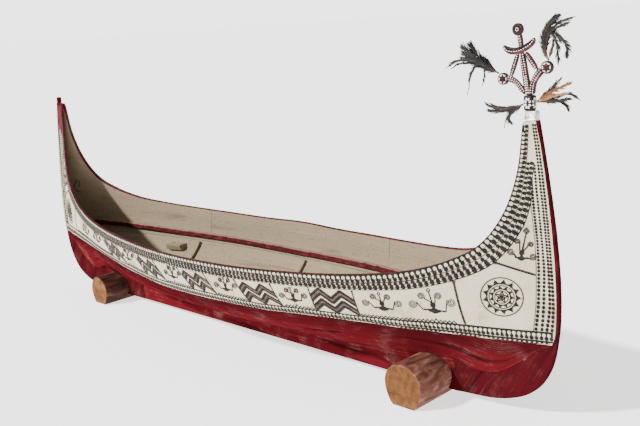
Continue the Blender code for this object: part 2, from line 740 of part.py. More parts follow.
def build():
    for old in list(bpy.data.objects):
        bpy.data.objects.remove(old)
    frame = bpy.data.objects.new("hull_frame", None)
    frame.location = (hullShift, 0, keelLift)
    bpy.context.scene.collection.objects.link(frame)

    keelTimber(frame)
    stemTimber("stem_bow", 1, frame)
    stemTimber("stem_stern", -1, frame)
    for side, sideName in ((1, "port"), (-1, "starboard")):
        for layer, strake in strakes.items():
            joint, end = strake["joint"], strake["end"]
            for part, first, last in (("aft", -end, -joint), ("middle", -joint, joint),
                                      ("fore", joint, end)):
                plank(f"{layer}_{part}_{sideName}", strake, first, last, side, frame)
        joint, end = rail["joint"], rail["end"]
        for part, first, last in (("aft", -end, -joint), ("middle", -joint, joint),
                                  ("fore", joint, end)):
            railSolid(f"rail_{part}_{sideName}", first, last, side, frame)
        lugSolid("lug_" + sideName, side, frame)
        for place, x in ribPlaces.items():
            ribSolid(f"rib_{place}_{sideName}", x, side, frame)
    shelfSolid("shelf_bow", 1, frame)
    shelfSolid("shelf_stern", -1, frame)
    for name, size in logs.items():
        logSolid(name, size, frame)
    low, high = prowBlock["low"], prowBlock["high"]
    boxSolid("prow_block", low, high, "darkRed", frame, bevel=prowBlock["bevel"])
    prowBoard(frame)
    prowDiscs(frame)
    wrapBand(frame)
    for name, size in feathers.items():
        featherBunch(name, size, frame)


build()
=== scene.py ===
# Finishes, carving and fine shapes for a two person plank canoe that stands on two notched logs.
# Metres, +X is the bow, +Y is port, +Z is up. hullPlace moves hull sizes, which are measured
# from the middle of the keel's underside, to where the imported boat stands.
import functools
import math
import random

import bmesh
import bpy
import numpy as np
from mathutils import Matrix, Vector
from mathutils.bvhtree import BVHTree


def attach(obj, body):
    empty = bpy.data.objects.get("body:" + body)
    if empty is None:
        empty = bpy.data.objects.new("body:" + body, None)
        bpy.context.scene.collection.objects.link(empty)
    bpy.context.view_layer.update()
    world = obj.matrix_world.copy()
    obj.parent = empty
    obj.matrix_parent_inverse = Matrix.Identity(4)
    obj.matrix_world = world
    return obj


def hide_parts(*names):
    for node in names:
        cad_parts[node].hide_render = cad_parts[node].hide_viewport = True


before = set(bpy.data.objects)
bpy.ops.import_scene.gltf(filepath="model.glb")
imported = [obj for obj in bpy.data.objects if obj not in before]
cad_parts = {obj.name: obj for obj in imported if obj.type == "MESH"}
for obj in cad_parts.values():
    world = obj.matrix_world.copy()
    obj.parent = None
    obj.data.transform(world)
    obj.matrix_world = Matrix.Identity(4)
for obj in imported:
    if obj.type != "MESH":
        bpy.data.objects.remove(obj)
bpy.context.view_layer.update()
hullPlace = Vector((-0.044, 0.0, 0.03))
bothSides = ((1, "port"), (-1, "starboard"))

hull = {
    "thickness": 0.013, "seam": 0.0007, "seamRound": 0.0009, "bandRound": 0.0016, "reliefDepth": 0.0014,
    "sinkOver": 0.004, "leastHalf": 0.002, "step": 0.1, "tipStation": 10, "lastStation": 11,
    "bowedFrom": 7, "stemBow": 0.024, "sternRed": 1.1,
}

# Half of the hull as the boat's offset table, in millimetres: x, half-breadth and height of the outer
# face along four lines, from the middle to the stem.
hullLines = {
    "garboardFoot": ((0, 22.5, 82), (275, 22.5, 82), (550, 22.5, 83), (825, 22.5, 86),
        (1050, 22.5, 90), (1220, 22.5, 95), (1320, 22.5, 100), (1420, 20, 86), (1540, 16, 85),
        (1660, 13, 130), (1735, 12, 200), (1765, 11.5, 230)),
    "bilge": ((0, 225, 160), (275, 214, 161), (550, 188, 163), (825, 145, 166), (1050, 98, 168),
        (1220, 60, 166), (1320, 41, 157), (1420, 30, 126), (1520, 22, 135), (1620, 16, 194),
        (1700, 14, 258), (1760, 13, 284)),
    "bandFoot": ((0, 385, 294), (275, 372, 297), (550, 337, 306), (825, 280, 316), (1060, 222, 322),
        (1265, 167, 328), (1430, 120, 325), (1560, 80, 318), (1655, 49, 311), (1705, 31, 307),
        (1740, 20, 306), (1768, 13, 306)),
    "gunwale": ((0, 426, 492), (275, 405, 490), (550, 373, 498), (825, 324, 511), (1045, 269, 530),
        (1232, 211, 559), (1386, 158, 609), (1507, 111, 679), (1590, 68, 800), (1634, 36, 950),
        (1652, 15, 1150), (1706, 13, 1155)),
}


def linePoint(points, place, last):
    # A smooth line through the points, straight beyond the last one.
    first = min(int(place), len(points) - 2)
    part = place - first
    here, there = points[first], points[first + 1]
    step = there - here
    if first >= last or step.length < 1e-6:
        return here + step * part

    def direction(index):
        before = points[index] - points[index - 1] if index > 0 else step
        after = points[index + 1] - points[index] if index + 1 < len(points) and index < last else step
        if index >= last:
            after = before
        return (before.normalized() + after.normalized()).normalized()

    def pull(index):
        sides = [step.length]
        for one, other in ((index - 1, index), (index, index + 1)):
            if one >= 0 and other < len(points):
                sides.append(1.6 * (points[other] - points[one]).length)
        return min(sides)

    startWay = (direction(first) if first > 0 else step.normalized()) * pull(first)
    endWay = direction(first + 1) * pull(first + 1)
    h3 = 3 * part**2 - 2 * part**3
    return (here * (1 - h3) + startWay * (part**3 - 2 * part**2 + part)
            + there * h3 + endWay * (part**3 - part**2))


@functools.lru_cache(maxsize=None)
def lineAt(name, station):
    # Stations run from -11 at the stern to 11 at the bow.
    half = [Vector([c / 1000 for c in p]) for p in hullLines[name]]
    if abs(station) > hull["tipStation"]:
        return Vector((math.copysign(half[-1].x, station), half[-1].y, half[-1].z))
    inner = half[:-1]
    whole = [Vector((-p.x, p.y, p.z)) for p in reversed(inner[1:])] + inner
    return linePoint(whole, station + hull["tipStation"], 2 * hull["tipStation"] + 1)


def section(station, height):
    lines = [lineAt(name, station) for name in hullLines]
    point = linePoint(lines, height, len(lines))
    if height > 2:
        near = max(0.0, (abs(station) - hull["bowedFrom"]) / (hull["lastStation"] - hull["bowedFrom"]))
        bow = 4 * hull["stemBow"] * near * (height - 2) * (3 - height)
        point = point + Vector((math.copysign(bow, station), 0, 0))
    return point


@functools.lru_cache(maxsize=None)
def skin(station, height):
    # The outer face: height 0 at the keel, 1 at the bilge, 2 at the foot of the carved band, 3 at the
    # gunwale. Past the gunwale's tip the planks run straight to the stem.
    tip = hull["tipStation"]
    if abs(station) <= tip:
        return section(station, height)
    low = section(math.copysign(tip, station), height)
    high = section(math.copysign(hull["lastStation"], station), height)
    return low.lerp(high, abs(station) - tip)


@functools.lru_cache(maxsize=None)
def outward(station, height):
    ahead, behind = min(station + 0.05, hull["lastStation"]), max(station - 0.05, -hull["lastStation"])
    up, down = min(height + 0.05, 3), max(height - 0.05, 0)
    along = skin(ahead, height) - skin(behind, height)
    across = skin(station, up) - skin(station, down)
    normal = along.cross(across).normalized()
    return normal if normal.y > 0 else -normal


def lining(station, height, depth):
    point = skin(station, height)
    if height <= 0:
        return Vector((point.x, point.y, point.z + depth * 1.06))
    inner = point - outward(station, height) * depth
    return Vector((inner.x, max(inner.y, 0.0008), inner.z))


def runningSum(values):
    return np.concatenate([[0], np.cumsum(values)])


def thirds(joint, end):
    return ("aft", -end, -joint), ("middle", -joint, joint), ("fore", joint, end)


def steps(start, end, size):
    # Even steps of about that size, with both ends.
    count = max(1, round((end - start) / size))
    return [round(start + (end - start) * i / count, 6) for i in range(count + 1)]


def linear(hexColour):
    # sRGB hex to the linear colour that the nodes take.
    parts = [int(hexColour[i:i + 2], 16) / 255 for i in (1, 3, 5)]
    return (*[c / 12.92 if c < 0.04045 else ((c + 0.055) / 1.055) ** 2.4 for c in parts], 1.0)


def addNode(tree, kind, inputs=None, stops=(), **settings):
    # An input takes a value or another node's output.
    made = tree.nodes.new(kind)
    for name, value in settings.items():
        setattr(made, name, value)
    for index, (place, colour) in enumerate(stops):
        ramp = made.color_ramp.elements
        element = ramp[index] if index < len(ramp) else ramp.new(1.0)
        element.position, element.color = place, linear(colour)
    for key, value in (inputs or {}).items():
        if isinstance(value, bpy.types.NodeSocket):
            tree.links.new(value, made.inputs[key])
        else:
            made.inputs[key].default_value = value
    return made


def firstOutput(*given, **settings):
    return addNode(*given, **settings).outputs[0]


def startMaterial(name, finish):
    made = bpy.data.materials.new(name)
    made.use_nodes = True
    shader = made.node_tree.nodes["Principled BSDF"]
    for key, value in finish.items():
        shader.inputs[key].default_value = value
    return made, made.node_tree, shader


def objectPoint(tree):
    return addNode(tree, "ShaderNodeTexCoord").outputs["Object"]


def stretched(tree, source, scales, shift=(0, 0, 0)):
    # Coordinates in metres, multiplied so that a pattern is long one way and narrow the other.
    return firstOutput(tree, "ShaderNodeMapping", {"Vector": source, "Scale": scales, "Location": shift})


def noise(tree, at, scale, detail, roughness=0.5, distortion=0.0):
    return firstOutput(tree, "ShaderNodeTexNoise", {
        "Vector": at, "Scale": scale, "Detail": detail, "Roughness": roughness, "Distortion": distortion})


def calculate(tree, operation, *values):
    return firstOutput(tree, "ShaderNodeMath", dict(enumerate(values)), operation=operation)


def remap(tree, value, first, last, most=1.0, least=0.0):
    # A value's run from first to last becomes a run from least to most.
    return firstOutput(tree, "ShaderNodeMapRange", {
        "Value": value, "From Min": first, "From Max": last, "To Min": least, "To Max": most})


def ramp(tree, value, places, colours):
    return firstOutput(tree, "ShaderNodeValToRGB", {"Fac": value}, stops=list(zip(places, colours)))


def upPart(tree, vector):
    return addNode(tree, "ShaderNodeSeparateXYZ", {0: vector}).outputs[2]


def mixColours(tree, share, one, two):
    one, two = [linear(c) if isinstance(c, str) else c for c in (one, two)]
    return addNode(tree, "ShaderNodeMix", {0: share, 6: one, 7: two}, data_type="RGBA").outputs[2]


def coat(tree, shader, colour, height, strength, distance):
    # Gives the shader its colour, and a relief of that many metres.
    bump = addNode(tree, "ShaderNodeBump", {"Height": height, "Strength": strength, "Distance": distance})
    tree.links.new(colour, shader.inputs["Base Color"])
    tree.links.new(bump.outputs[0], shader.inputs["Normal"])


def addMesh(name, points, faces, materials, faceMaterials=None, flat=False):
    # A mesh at the origin, in metres, with its finishes.
    mesh = bpy.data.meshes.new(name)
    mesh.from_pydata([tuple(p) for p in points], [], faces)
    for finish in materials:
        mesh.materials.append(finish)
    if faceMaterials is not None:
        mesh.polygons.foreach_set("material_index", faceMaterials)
    if not flat:
        mesh.shade_smooth()
    made = bpy.data.objects.new(name, mesh)
    bpy.context.scene.collection.objects.link(made)
    return made


def turnOutward(piece):
    work = bmesh.new()
    work.from_mesh(piece.data)
    bmesh.ops.remove_doubles(work, verts=work.verts, dist=1e-6)
    bmesh.ops.recalc_face_normals(work, faces=work.faces)
    work.to_mesh(piece.data)
    work.free()


def addSolid(name, points, faces, finishes, flat=False):
    # A closed mesh, turned outward. Instead of faces it takes the number of points in each ring.
    if isinstance(faces, int):
        faces = ringFaces(len(points) // faces, faces)
    made = addMesh(name, points, faces, finishes, flat=flat)
    turnOutward(made)
    return made


def roundEdges(piece, width, angle, segments=2):
    # Worn and rounded edges. A weighted normal keeps the broad faces even.
    edge = piece.modifiers.new("roundedEdges", "BEVEL")
    edge.width, edge.segments = width, segments
    edge.limit_method, edge.angle_limit = "ANGLE", math.radians(angle)
    edge.use_clamp_overlap = True
    even = piece.modifiers.new("evenShading", "WEIGHTED_NORMAL")
    even.keep_sharp = False


def fitPiece(piece, slot, *nodes):
    # Every piece rides on the one body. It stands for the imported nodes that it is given.
    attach(piece, "root")
    if nodes:
        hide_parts(*nodes)
    return piece


def place(point, side=1):
    # From hull sizes to where the boat stands, mirrored for starboard.
    return Vector((point[0], point[1] * side, point[2])) + hullPlace


def ringFaces(rings, around, loop=False):
    # Quads between rings that have the same number of points, and a face on each end. In a loop the
    # last ring joins the first.
    pairs = [(j, (j + 1) % around) for j in range(around)]
    faces = [(i + j, i + k, i + around + k, i + around + j)
             for i in range(0, (rings - 1) * around, around) for j, k in pairs]
    last = (rings - 1) * around
    if loop:
        return faces + [(last + j, last + k, k, j) for j, k in pairs]
    return faces + [tuple(reversed(range(around))), tuple(range(last, last + around))]


# Where the cream of the carved band ends and the red of the lower hull begins: x and height.
paintLine = ((-1.8, 0.322), (-1.5, 0.336), (-1.2, 0.336), (-0.86, 0.329), (-0.58, 0.321),
             (-0.25, 0.303), (0.2, 0.302), (0.5, 0.297), (0.68, 0.304), (0.85, 0.304), (1.02, 0.303),
             (1.2, 0.295), (1.35, 0.298), (1.8, 0.298))


def byTable(table, value):
    # Reads a table of pairs, straight from each pair to the next.
    return float(np.interp(value, *zip(*table)))


def paintHeight(x):
    return byTable(paintLine, x)


def abovePaint(point):
    # How far a point of a plank lies inside the cream. The stern's tip is red.
    above = point.z - paintHeight(point.x)
    return min(above, hull["sternRed"] - point.z) if point.x < 0 else above


hullPaint = {
    "red": "#541319", "redDark": "#24090c", "redLight": "#6c2126", "scuff": "#8a625e",
    "cream": "#bfb69c", "creamStain": "#9f9174", "creamWhite": "#c9c0a9",
    "grainAlong": 5.0, "grainAcross": 240.0, "streakAlong": 1.6, "streakAcross": 22.0,
    "edgeWobble": 0.0012, "matte": 1.0, "shadeUnderBand": 0.6,
}


def makeHullPaint():
    # Earth red below and lime white above: the grain and the long brush streaks read through, and
    # the red is rubbed pale where the boat is dragged.
    s = hullPaint
    made, tree, shader = startMaterial("limeAndEarthPaintOnPlank", {"IOR": s["matte"]})
    at, run = objectPoint(tree), firstOutput(tree, "ShaderNodeUVMap", uv_map="grain")
    grain = noise(tree, stretched(tree, run, (s["grainAlong"], s["grainAcross"], 1)), 1.0, 5.0, 0.6)
    streak = noise(tree, stretched(tree, run, (s["streakAlong"], s["streakAcross"], 1), (3, 1, 0)), 1.0, 4.0,
                   distortion=0.4)
    blotch, fine = noise(tree, at, 9.0, 6.0, 0.68), noise(tree, at, 140.0, 3.0)
    red = ramp(tree, streak, (0.3, 0.47, 0.6, 0.78), (s["redDark"], s["red"], s["red"], s["redLight"]))
    rubbed = calculate(tree, "MULTIPLY", blotch, grain)
    red = mixColours(tree, remap(tree, rubbed, 0.28, 0.42, 0.6), red, s["scuff"])
    red = mixColours(tree, remap(tree, grain, 0.44, 0.3, 0.75), red, s["redDark"])
    cream = ramp(tree, blotch, (0.3, 0.46, 0.68), (s["creamStain"], s["cream"], s["creamWhite"]))
    cream = mixColours(tree, remap(tree, grain, 0.4, 0.27, 0.5), cream, s["creamStain"])
    # the red is darkened just under the cream, a painted shade where the hull turns under the band, and their
    # border wavers a little
    above = addNode(tree, "ShaderNodeAttribute", attribute_name="abovePaint").outputs["Fac"]
    red = mixColours(tree, remap(tree, above, -0.09, -0.02, s["shadeUnderBand"]), red, s["redDark"])
    wobble = remap(tree, fine, 0.0, 1.0, s["edgeWobble"], -s["edgeWobble"])
    share = remap(tree, calculate(tree, "ADD", above, wobble), -0.0002, 0.0002)
    tree.links.new(remap(tree, grain, 0.0, 1.0, 0.85, 0.5), shader.inputs["Roughness"])
    coat(tree, shader, mixColours(tree, share, red, cream), calculate(tree, "ADD", grain, fine), 0.55, 0.0012)
    return made


insidePaint = {
    "tan": "#8d7d65", "light": "#a39379", "dark": "#695b46", "mark": "#3e342b",
    "grainAlong": 9.0, "grainAcross": 110.0, "brushAlong": 1.2, "brushAcross": 14.0, "adze": 26.0,
}


def makeInsidePaint():
    # Thin tan wash on the adzed inner face: shallow adze scallops, streaks and small dark marks.
    s = insidePaint
    made, tree, shader = startMaterial("tanWashOnAdzedPlank", {"Roughness": 0.78, "Specular IOR Level": 0.2})
    at, run = objectPoint(tree), firstOutput(tree, "ShaderNodeUVMap", uv_map="grain")
    grain = noise(tree, stretched(tree, run, (s["grainAlong"], s["grainAcross"], 1)), 1.0, 5.0)
    brush = noise(tree, stretched(tree, run, (s["brushAlong"], s["brushAcross"], 1), (7, 2, 0)),
                  1.0, 6.0, 0.62, 0.5)
    speck = noise(tree, at, 75.0, 4.0, 0.7)
    adze = firstOutput(tree, "ShaderNodeTexVoronoi", {
        "Vector": stretched(tree, run, (0.45, 1, 1)), "Scale": s["adze"]}, feature="SMOOTH_F1")
    base = ramp(tree, brush, (0.28, 0.44, 0.58, 0.74), (s["dark"], s["tan"], s["tan"], s["light"]))
    base = mixColours(tree, remap(tree, grain, 0.42, 0.28, 0.6), base, s["dark"])
    base = mixColours(tree, remap(tree, speck, 0.56, 0.74, 0.7), base, s["mark"])
    height = calculate(tree, "ADD", calculate(tree, "MULTIPLY_ADD", adze, grain, 0.4), speck)
    coat(tree, shader, base, height, 0.5, 0.002)
    return made


def makePlainPaint(name, colours, roughness=0.6, pale=None):
    # Brushed earth or soot paint. With a pale colour, the faces that look up are worn and dusty.
    made, tree, shader = startMaterial(name, {"Roughness": roughness, "Specular IOR Level": 0.15})
    at = objectPoint(tree)
    streak = noise(tree, stretched(tree, at, (14, 120, 120)), 1.0, 5.0)
    blotch = noise(tree, at, 34.0, 5.0, 0.65)
    mixed = calculate(tree, "ADD", streak, blotch)
    base = ramp(tree, calculate(tree, "MULTIPLY", mixed, 0.5), (0.36, 0.5, 0.64), colours)
    if pale:
        normal = addNode(tree, "ShaderNodeNewGeometry").outputs["Normal"]
        facing = calculate(tree, "MULTIPLY_ADD", upPart(tree, normal), blotch, 0.18)
        base = mixColours(tree, remap(tree, facing, 0.42, 0.62, 0.85), base, pale)
    coat(tree, shader, base, mixed, 0.4, 0.0008)
    return made


hullFinish = makeHullPaint()
insideFinish = makeInsidePaint()
edgeFinish = makePlainPaint("darkRedPaintOnPlankEdge", ("#26090c", "#470f15", "#66262b"), 0.7)
railFinish = makePlainPaint("earthRedOnRail", ("#2c0a0e", "#4e1319", "#6c2a2d"), pale="#927766")
shelfFinish = makePlainPaint("dullEarthRedOnShelf", ("#2d0d10", "#4a161a", "#6b2a2c"), 0.75)
sootFinish = makePlainPaint("sootBlackOnCarving", ("#0a0808", "#161211", "#2b2522"), 0.6)
creamFinish = makePlainPaint("limePaintOnCarving", ("#9f9377", "#c2b9a2", "#d2cab6"), 0.8)
tipFinish = makePlainPaint("earthRedOnSternTip", ("#330a0e", "#52121a", "#661c22"), 0.8)
brownFinish = makePlainPaint("thinBrownOchreOnCarving", ("#31261f", "#4f3d35", "#6c554a"), 0.7)
print("finishes are ready")


def addGrainMap(piece, along, across, shift=0.0):
    # A grain map in metres, from two directions of the piece.
    run = piece.data.uv_layers.new(name="grain")
    for loop in piece.data.loops:
        at = piece.data.vertices[loop.vertex_index].co
        run.data[loop.index].uv = (at.dot(along) + shift, at.dot(across) + shift)


def addPaintMap(piece, values):
    # How far each point lies inside the cream, for the hull's paint.
    piece.data.attributes.new("abovePaint", "FLOAT", "POINT").data.foreach_set("value", values)


def plankPiece(layer, part, low, first, last, rows, side, sideName):
    # One plank, its carved ground sunk. The grain map runs along the plank in metres.
    stations = steps(first, last, hull["step"])
    heights = steps(low, low + 1, 1 / rows)
    outer, inner = [], []
    for s in stations:
        column, lined = [], []
        for h in heights:
            point = skin(s, h)
            sunk = hull["reliefDepth"] * min(1, max(0, (point.z - paintHeight(point.x)) / hull["sinkOver"]))
            column.append(point - outward(s, h) * sunk if point.y - sunk > hull["leastHalf"] else point)
            lined.append(lining(s, h, hull["thickness"]))
        outer.append(column)
        inner.append(lined)
    for grid in (outer, inner):
        for column in grid:
            up = (column[-1] - column[0]).normalized() * hull["seam"] / 2
            column[0], column[-1] = column[0] + up, column[-1] - (up if low < 2 else up * 0)
        for edge, nextOne in ((0, 1), (-1, -2)):
            for j in range(len(heights)):
                away = (grid[nextOne][j] - grid[edge][j]).normalized()
                grid[edge][j] = grid[edge][j] + away * hull["seam"] / 2
    across, count = len(heights), len(stations) * len(heights)
    points = [place(p, side) for grid in (outer, inner) for column in grid for p in column]
    faces, finishes = [], []
    for i in range(len(stations) - 1):
        a = i * across
        b = a + across
        for j in range(across - 1):
            faces += [(a + j, b + j, b + j + 1, a + j + 1),
                      (count + a + j, count + a + j + 1, count + b + j + 1, count + b + j)]
            finishes += [0, 2 if low == 2 and j > across - 3 else 1]
        faces += [(b, a, count + a, count + b),
                  (a + across - 1, b + across - 1, count + b + across - 1, count + a + across - 1)]
        finishes += [2, 2]
    end = (len(stations) - 1) * across
    for j in range(across - 1):
        faces += [(j, j + 1, count + j + 1, count + j),
                  (end + j + 1, end + j, count + end + j, count + end + j + 1)]
        finishes += [2, 2]
    if side < 0:
        faces = [tuple(reversed(f)) for f in faces]
    node = f"{layer}_{part}_{sideName}"
    piece = addMesh(node + "_planed", points, faces, [hullFinish, insideFinish, edgeFinish], finishes)
    mesh = piece.data
    run = mesh.uv_layers.new(name="grain")
    middle = [column[across // 2] for column in outer]
    lengths = runningSum([(b - a).length for a, b in zip(middle, middle[1:])])
    girths = [runningSum([(b - a).length for a, b in zip(column, column[1:])]) for column in outer]
    shift = 3.7 * low + 1.3 * ("aft", "middle", "fore").index(part) + side
    for loop in mesh.loops:
        k = loop.vertex_index % count
        run.data[loop.index].uv = (lengths[k // across] + shift, girths[k // across][k % across] + shift)
    addPaintMap(piece, [abovePaint(v.co - hullPlace) for v in mesh.vertices])
    turnOutward(piece)
    roundEdges(piece, hull["seamRound"] if low < 2 else hull["bandRound"], 50)
    slot = "band_paint" if low == 2 else "hull_red_paint"
    return fitPiece(piece, slot, node)


layers = {
    "garboard": {"low": 0, "joint": 2.0, "end": 6, "rows": 6},
    "bilge": {"low": 1, "joint": 3.0, "end": 11, "rows": 20},
    "topside": {"low": 2, "joint": 2.5, "end": 11, "rows": 25},
}
for side, sideName in bothSides:
    for layer, s in layers.items():
        for part, first, last in thirds(s["joint"], s["end"]):
            plankPiece(layer, part, s["low"], first, last, s["rows"], side, sideName)
print("planks are built")

backbone = {
    "halfTop": 0.022, "halfFoot": 0.0185, "rise": 0.012, "joint": 0.95, "halfEdge": 0.0105,
    "postTop": 1.19, "postAft": 1.686, "postFore": 1.708, "seat": 0.0005, "edgeShare": 3.62,
    "taperRate": 1.5, "shoulder": 0.0106, "butt": 0.0006, "half": 0.0125, "lift": 0.03,
    "wrapLow": 1.1556, "garboardEnd": 6, "kneeEnd": 1.32, "innerDrop": 0.0004, "round": (0.004, 35, 3),
    # how far the cream reaches over the stem, by height, and its ends at the bow and at the stern
    "paleStrip": ((0.29, -0.02), (0.3, 0.0), (0.42, 0.006), (0.6, 0.0095), (0.85, 0.011)),
    "paleEnds": {1: ((1.0, 0.013), (1.1, 0.008), (1.15, -0.002)), -1: ((0.95, 0.008), (1.0, -0.02))},
    "feet": ((0.825, 3), (1.05, 4), (1.22, 5), (1.32, 6)),
}

# The stem's outer edge in side view, x and height, from the end of the straight keel upward.
stemEdge = [Vector((x, 0, z)) for x, z in (
    (1.31, 0.0), (1.546, 0.024), (1.679, 0.084), (1.75, 0.18), (1.788, 0.336),
    (1.795, 0.504), (1.782, 0.696), (1.757, 0.888), (1.73, 1.056), (1.706, 1.19))]


def stemEdgeAt(place):
    return linePoint(stemEdge, place, len(stemEdge))


def halved(low, high, isShort):
    # The place, found by halving, up to which isShort holds.
    for _ in range(24):
        middle = (low + high) / 2
        low, high = (middle, high) if isShort(middle) else (low, middle)
    return low


def stemEdgeAtHeight(z):
    return stemEdgeAt(halved(0.0, len(stemEdge) - 1.0, lambda place: stemEdgeAt(place).z < z))


def stemPiece(node, end):
    # Keel end, forefoot and stem in one timber: outer, middle and inner point at every rung.
    s = backbone
    rungs = []
    for x in np.linspace(s["joint"], s["kneeEnd"], 10):
        top = lineAt("garboardFoot", round(byTable(s["feet"], x), 4)).z
        rungs.append(((x, s["halfFoot"], 0), (x, s["halfTop"] - 0.001, top / 2),
                      (x, s["halfTop"], top + s["rise"])))
    last = hull["lastStation"]
    for station in steps(s["garboardEnd"], last, 0.2):
        inner, middle = skin(station, 1), skin(station, 0)
        share = (station - s["garboardEnd"]) / (last - s["garboardEnd"])
        edge = stemEdgeAt(s["edgeShare"] * share)
        half = s["halfFoot"] + (s["halfEdge"] - s["halfFoot"]) * min(1, s["taperRate"] * share)
        butt = s["butt"] if station == s["garboardEnd"] else 0
        rungs.append(((edge.x + (s["shoulder"] if butt else 0), half, edge.z),
                      (middle.x + butt, middle.y, middle.z),
                      (inner.x + butt, inner.y, inner.z - s["innerDrop"])))
    for height in steps(1.4, 3, 0.1):
        inner = skin(last, height)
        edge = stemEdgeAtHeight(inner.z + s["lift"] * (3 - height))
        ends = (Vector((edge.x, s["halfEdge"], edge.z)), inner + Vector((s["seat"], 0, 0)))
        middle = (ends[0] + ends[1]) / 2
        rungs.append((ends[0], (middle.x, s["half"], middle.z), ends[1]))
    for z in (s["wrapLow"], s["postTop"]):
        rungs.append(((s["postFore"], s["halfEdge"], z), ((s["postAft"] + s["postFore"]) / 2,
                      s["halfEdge"], z), (s["postAft"], s["halfEdge"], z)))
    points = [place((p[0] * end, p[1] * turn, p[2])) for rung in rungs
              for turn, order in ((1, rung), (-1, tuple(reversed(rung)))) for p in order]
    piece = addMesh(node + "_hewn", points, ringFaces(len(rungs), 6), [hullFinish])
    addGrainMap(piece, Vector((0.5, 0, 0.86)), Vector((0.86, 1, -0.5)), shift=end)
    # the white of the band runs over the after part of the stem, most of it high up
    worn = []
    for index, point in enumerate(points):
        reach = byTable(s["paleStrip"] + s["paleEnds"][end], point.z - hullPlace.z)
        worn.append((-0.02, reach - s["halfEdge"], reach)[min(index % 6, 5 - index % 6)])
    addPaintMap(piece, worn)
    turnOutward(piece)
    roundEdges(piece, *s["round"])
    return fitPiece(piece, "hull_red_paint", node)


def keelPiece():
    s = backbone
    half, top = s["joint"] - s["seat"], hullLines["garboardFoot"][0][2] / 1000 + s["rise"]
    ring = ((s["halfFoot"], 0.0), (s["halfTop"], top), (-s["halfTop"], top), (-s["halfFoot"], 0.0))
    rings = np.linspace(-half, half, 25)
    points = [place((x, y, z)) for x in rings for y, z in ring]
    piece = addSolid("keel_middle_hewn", points, 4, [hullFinish])
    addGrainMap(piece, Vector((1, 0, 0)), Vector((0, 1, 1)))
    addPaintMap(piece, [-1.0] * len(points))
    roundEdges(piece, *s["round"])
    return fitPiece(piece, "hull_red_paint", "keel_middle")


keelPiece()
stemPiece("stem_bow", 1)
stemPiece("stem_stern", -1)
print("keel and stems are built")

rails = {
    "depth": 0.022, "height": 0.028, "gap": 0.0008, "end": 7.5, "joint": 2.0, "clear": 0.004,
    "least": 0.006,
    "top": ((0, 0.346), (1, 0.352), (2, 0.362), (3.5, 0.378), (4.5, 0.39), (5.5, 0.4), (8, 0.412)),
    "round": 0.0045, "waver": 0.0012,
}
innerHeights = steps(1.0, 3.0, 0.05)


@functools.lru_cache(maxsize=None)
def innerColumn(station, depth):
    return [lining(station, h, depth) for h in innerHeights]


def liningAtHeight(station, z, depth):
    column = innerColumn(round(station, 4), round(depth, 5))
    x, y = [byTable([(p.z, p[axis]) for p in column], z) for axis in (0, 1)]
    return Vector((x, y, z))


def railHeight(station):
    return byTable(rails["top"], abs(station))


def railPiece(node, first, last, side):
    # A hewn strip with rounded edges. Its top and its depth waver a little, as adzed wood does.
    s = rails
    depth = hull["thickness"] + s["gap"]
    waver = random.Random(node)
    stations = steps(first, last, 0.25)
    points = []
    for station in stations:
        top = railHeight(station)
        low = liningAtHeight(station, top - s["height"], depth)
        high = liningAtHeight(station, top, depth)
        reach = max(min(s["depth"], low.y - s["clear"]), s["least"]) - waver.uniform(0, s["waver"])
        drop = waver.uniform(0, s["waver"])
        ring = [low, high - Vector((0, 0, drop)), high - Vector((0, high.y - low.y + reach, drop)),
                low - Vector((0, reach, 0))]
        points += [place(p, side) for p in ring]
    piece = addSolid(node + "_hewn", points, 4, [railFinish])
    roundEdges(piece, s["round"], 40, 3)
    return fitPiece(piece, "rail_red_paint", node)


shelves = {
    "gap": 0.0012, "tip": 9.0, "thick": 0.016, "under": 0.003, "climb": 0.01, "dish": 0.003, "clear": 0.0006,
    "least": 0.004, "round": 0.002,
}


def shelfPiece(node, end):
    # The pointed board between the rails' ends, a little dished and round at its edges.
    s = shelves
    stations = steps(rails["end"], s["tip"], 0.125)
    points = []
    for index, station in enumerate(stations):
        top = railHeight(rails["end"]) - s["under"] + s["climb"] * index / len(stations)
        start = s["clear"] * end if index == 0 else 0.0
        for z in (top - s["thick"], top):
            edge = liningAtHeight(station * end, z, hull["thickness"] + s["gap"])
            y = max(edge.y, s["least"])
            row = [place((edge.x + start, y * k, z - (s["dish"] * (1 - k * k) if z == top else 0)))
                   for k in (1, 0.6, 0.2, -0.2, -0.6, -1)]
            points += row if z == top else reversed(row)
    piece = addSolid(node + "_board", points, 12, [shelfFinish])
    roundEdges(piece, s["round"], 50, 2)
    return fitPiece(piece, "shelf_dark_red", node)


def stationOf(x, line="bilge"):
    return halved(-10.0, 10.0, lambda station: lineAt(line, station).x < x)


ribs = {"width": 0.04, "depth": 0.016, "gap": 0.0006, "head": 1.95, "round": 0.004,
        "places": {"aft": -0.765, "middle": 0.045, "fore": 0.852}}


def ribPiece(node, x, side):
    # A grown rib on the bottom and up to the rail, its corners worn round.
    s = ribs
    ends = [stationOf(x + s["width"] * half) for half in (-0.5, 0.5)]
    inside = hull["thickness"] + s["gap"]
    heights = steps(0.0, s["head"], 0.125)
    points = []
    for h in heights:
        back = [lining(round(e, 4), h, inside) for e in ends]
        front = [lining(round(e, 4), h, inside + s["depth"]) for e in ends]
        ring = [back[0], back[1], front[1], front[0]]
        points += [place(p + Vector((0, 0.0005 if h == 0 else 0, 0)), side) for p in ring]
    piece = addSolid(node + "_grown", points, 4, [insideFinish, ribAftShadeFinish])
    # the aft faces take a browner, darker copy of the tan wash: painted shade
    for face in piece.data.polygons:
        face.material_index = 1 if face.normal.x < -0.7 else 0
    addGrainMap(piece, Vector((0, 0.8, 0.6)), Vector((1, 0, 0)), shift=x)
    roundEdges(piece, s["round"], 40, 3)
    return fitPiece(piece, "inside_tan_paint", node)


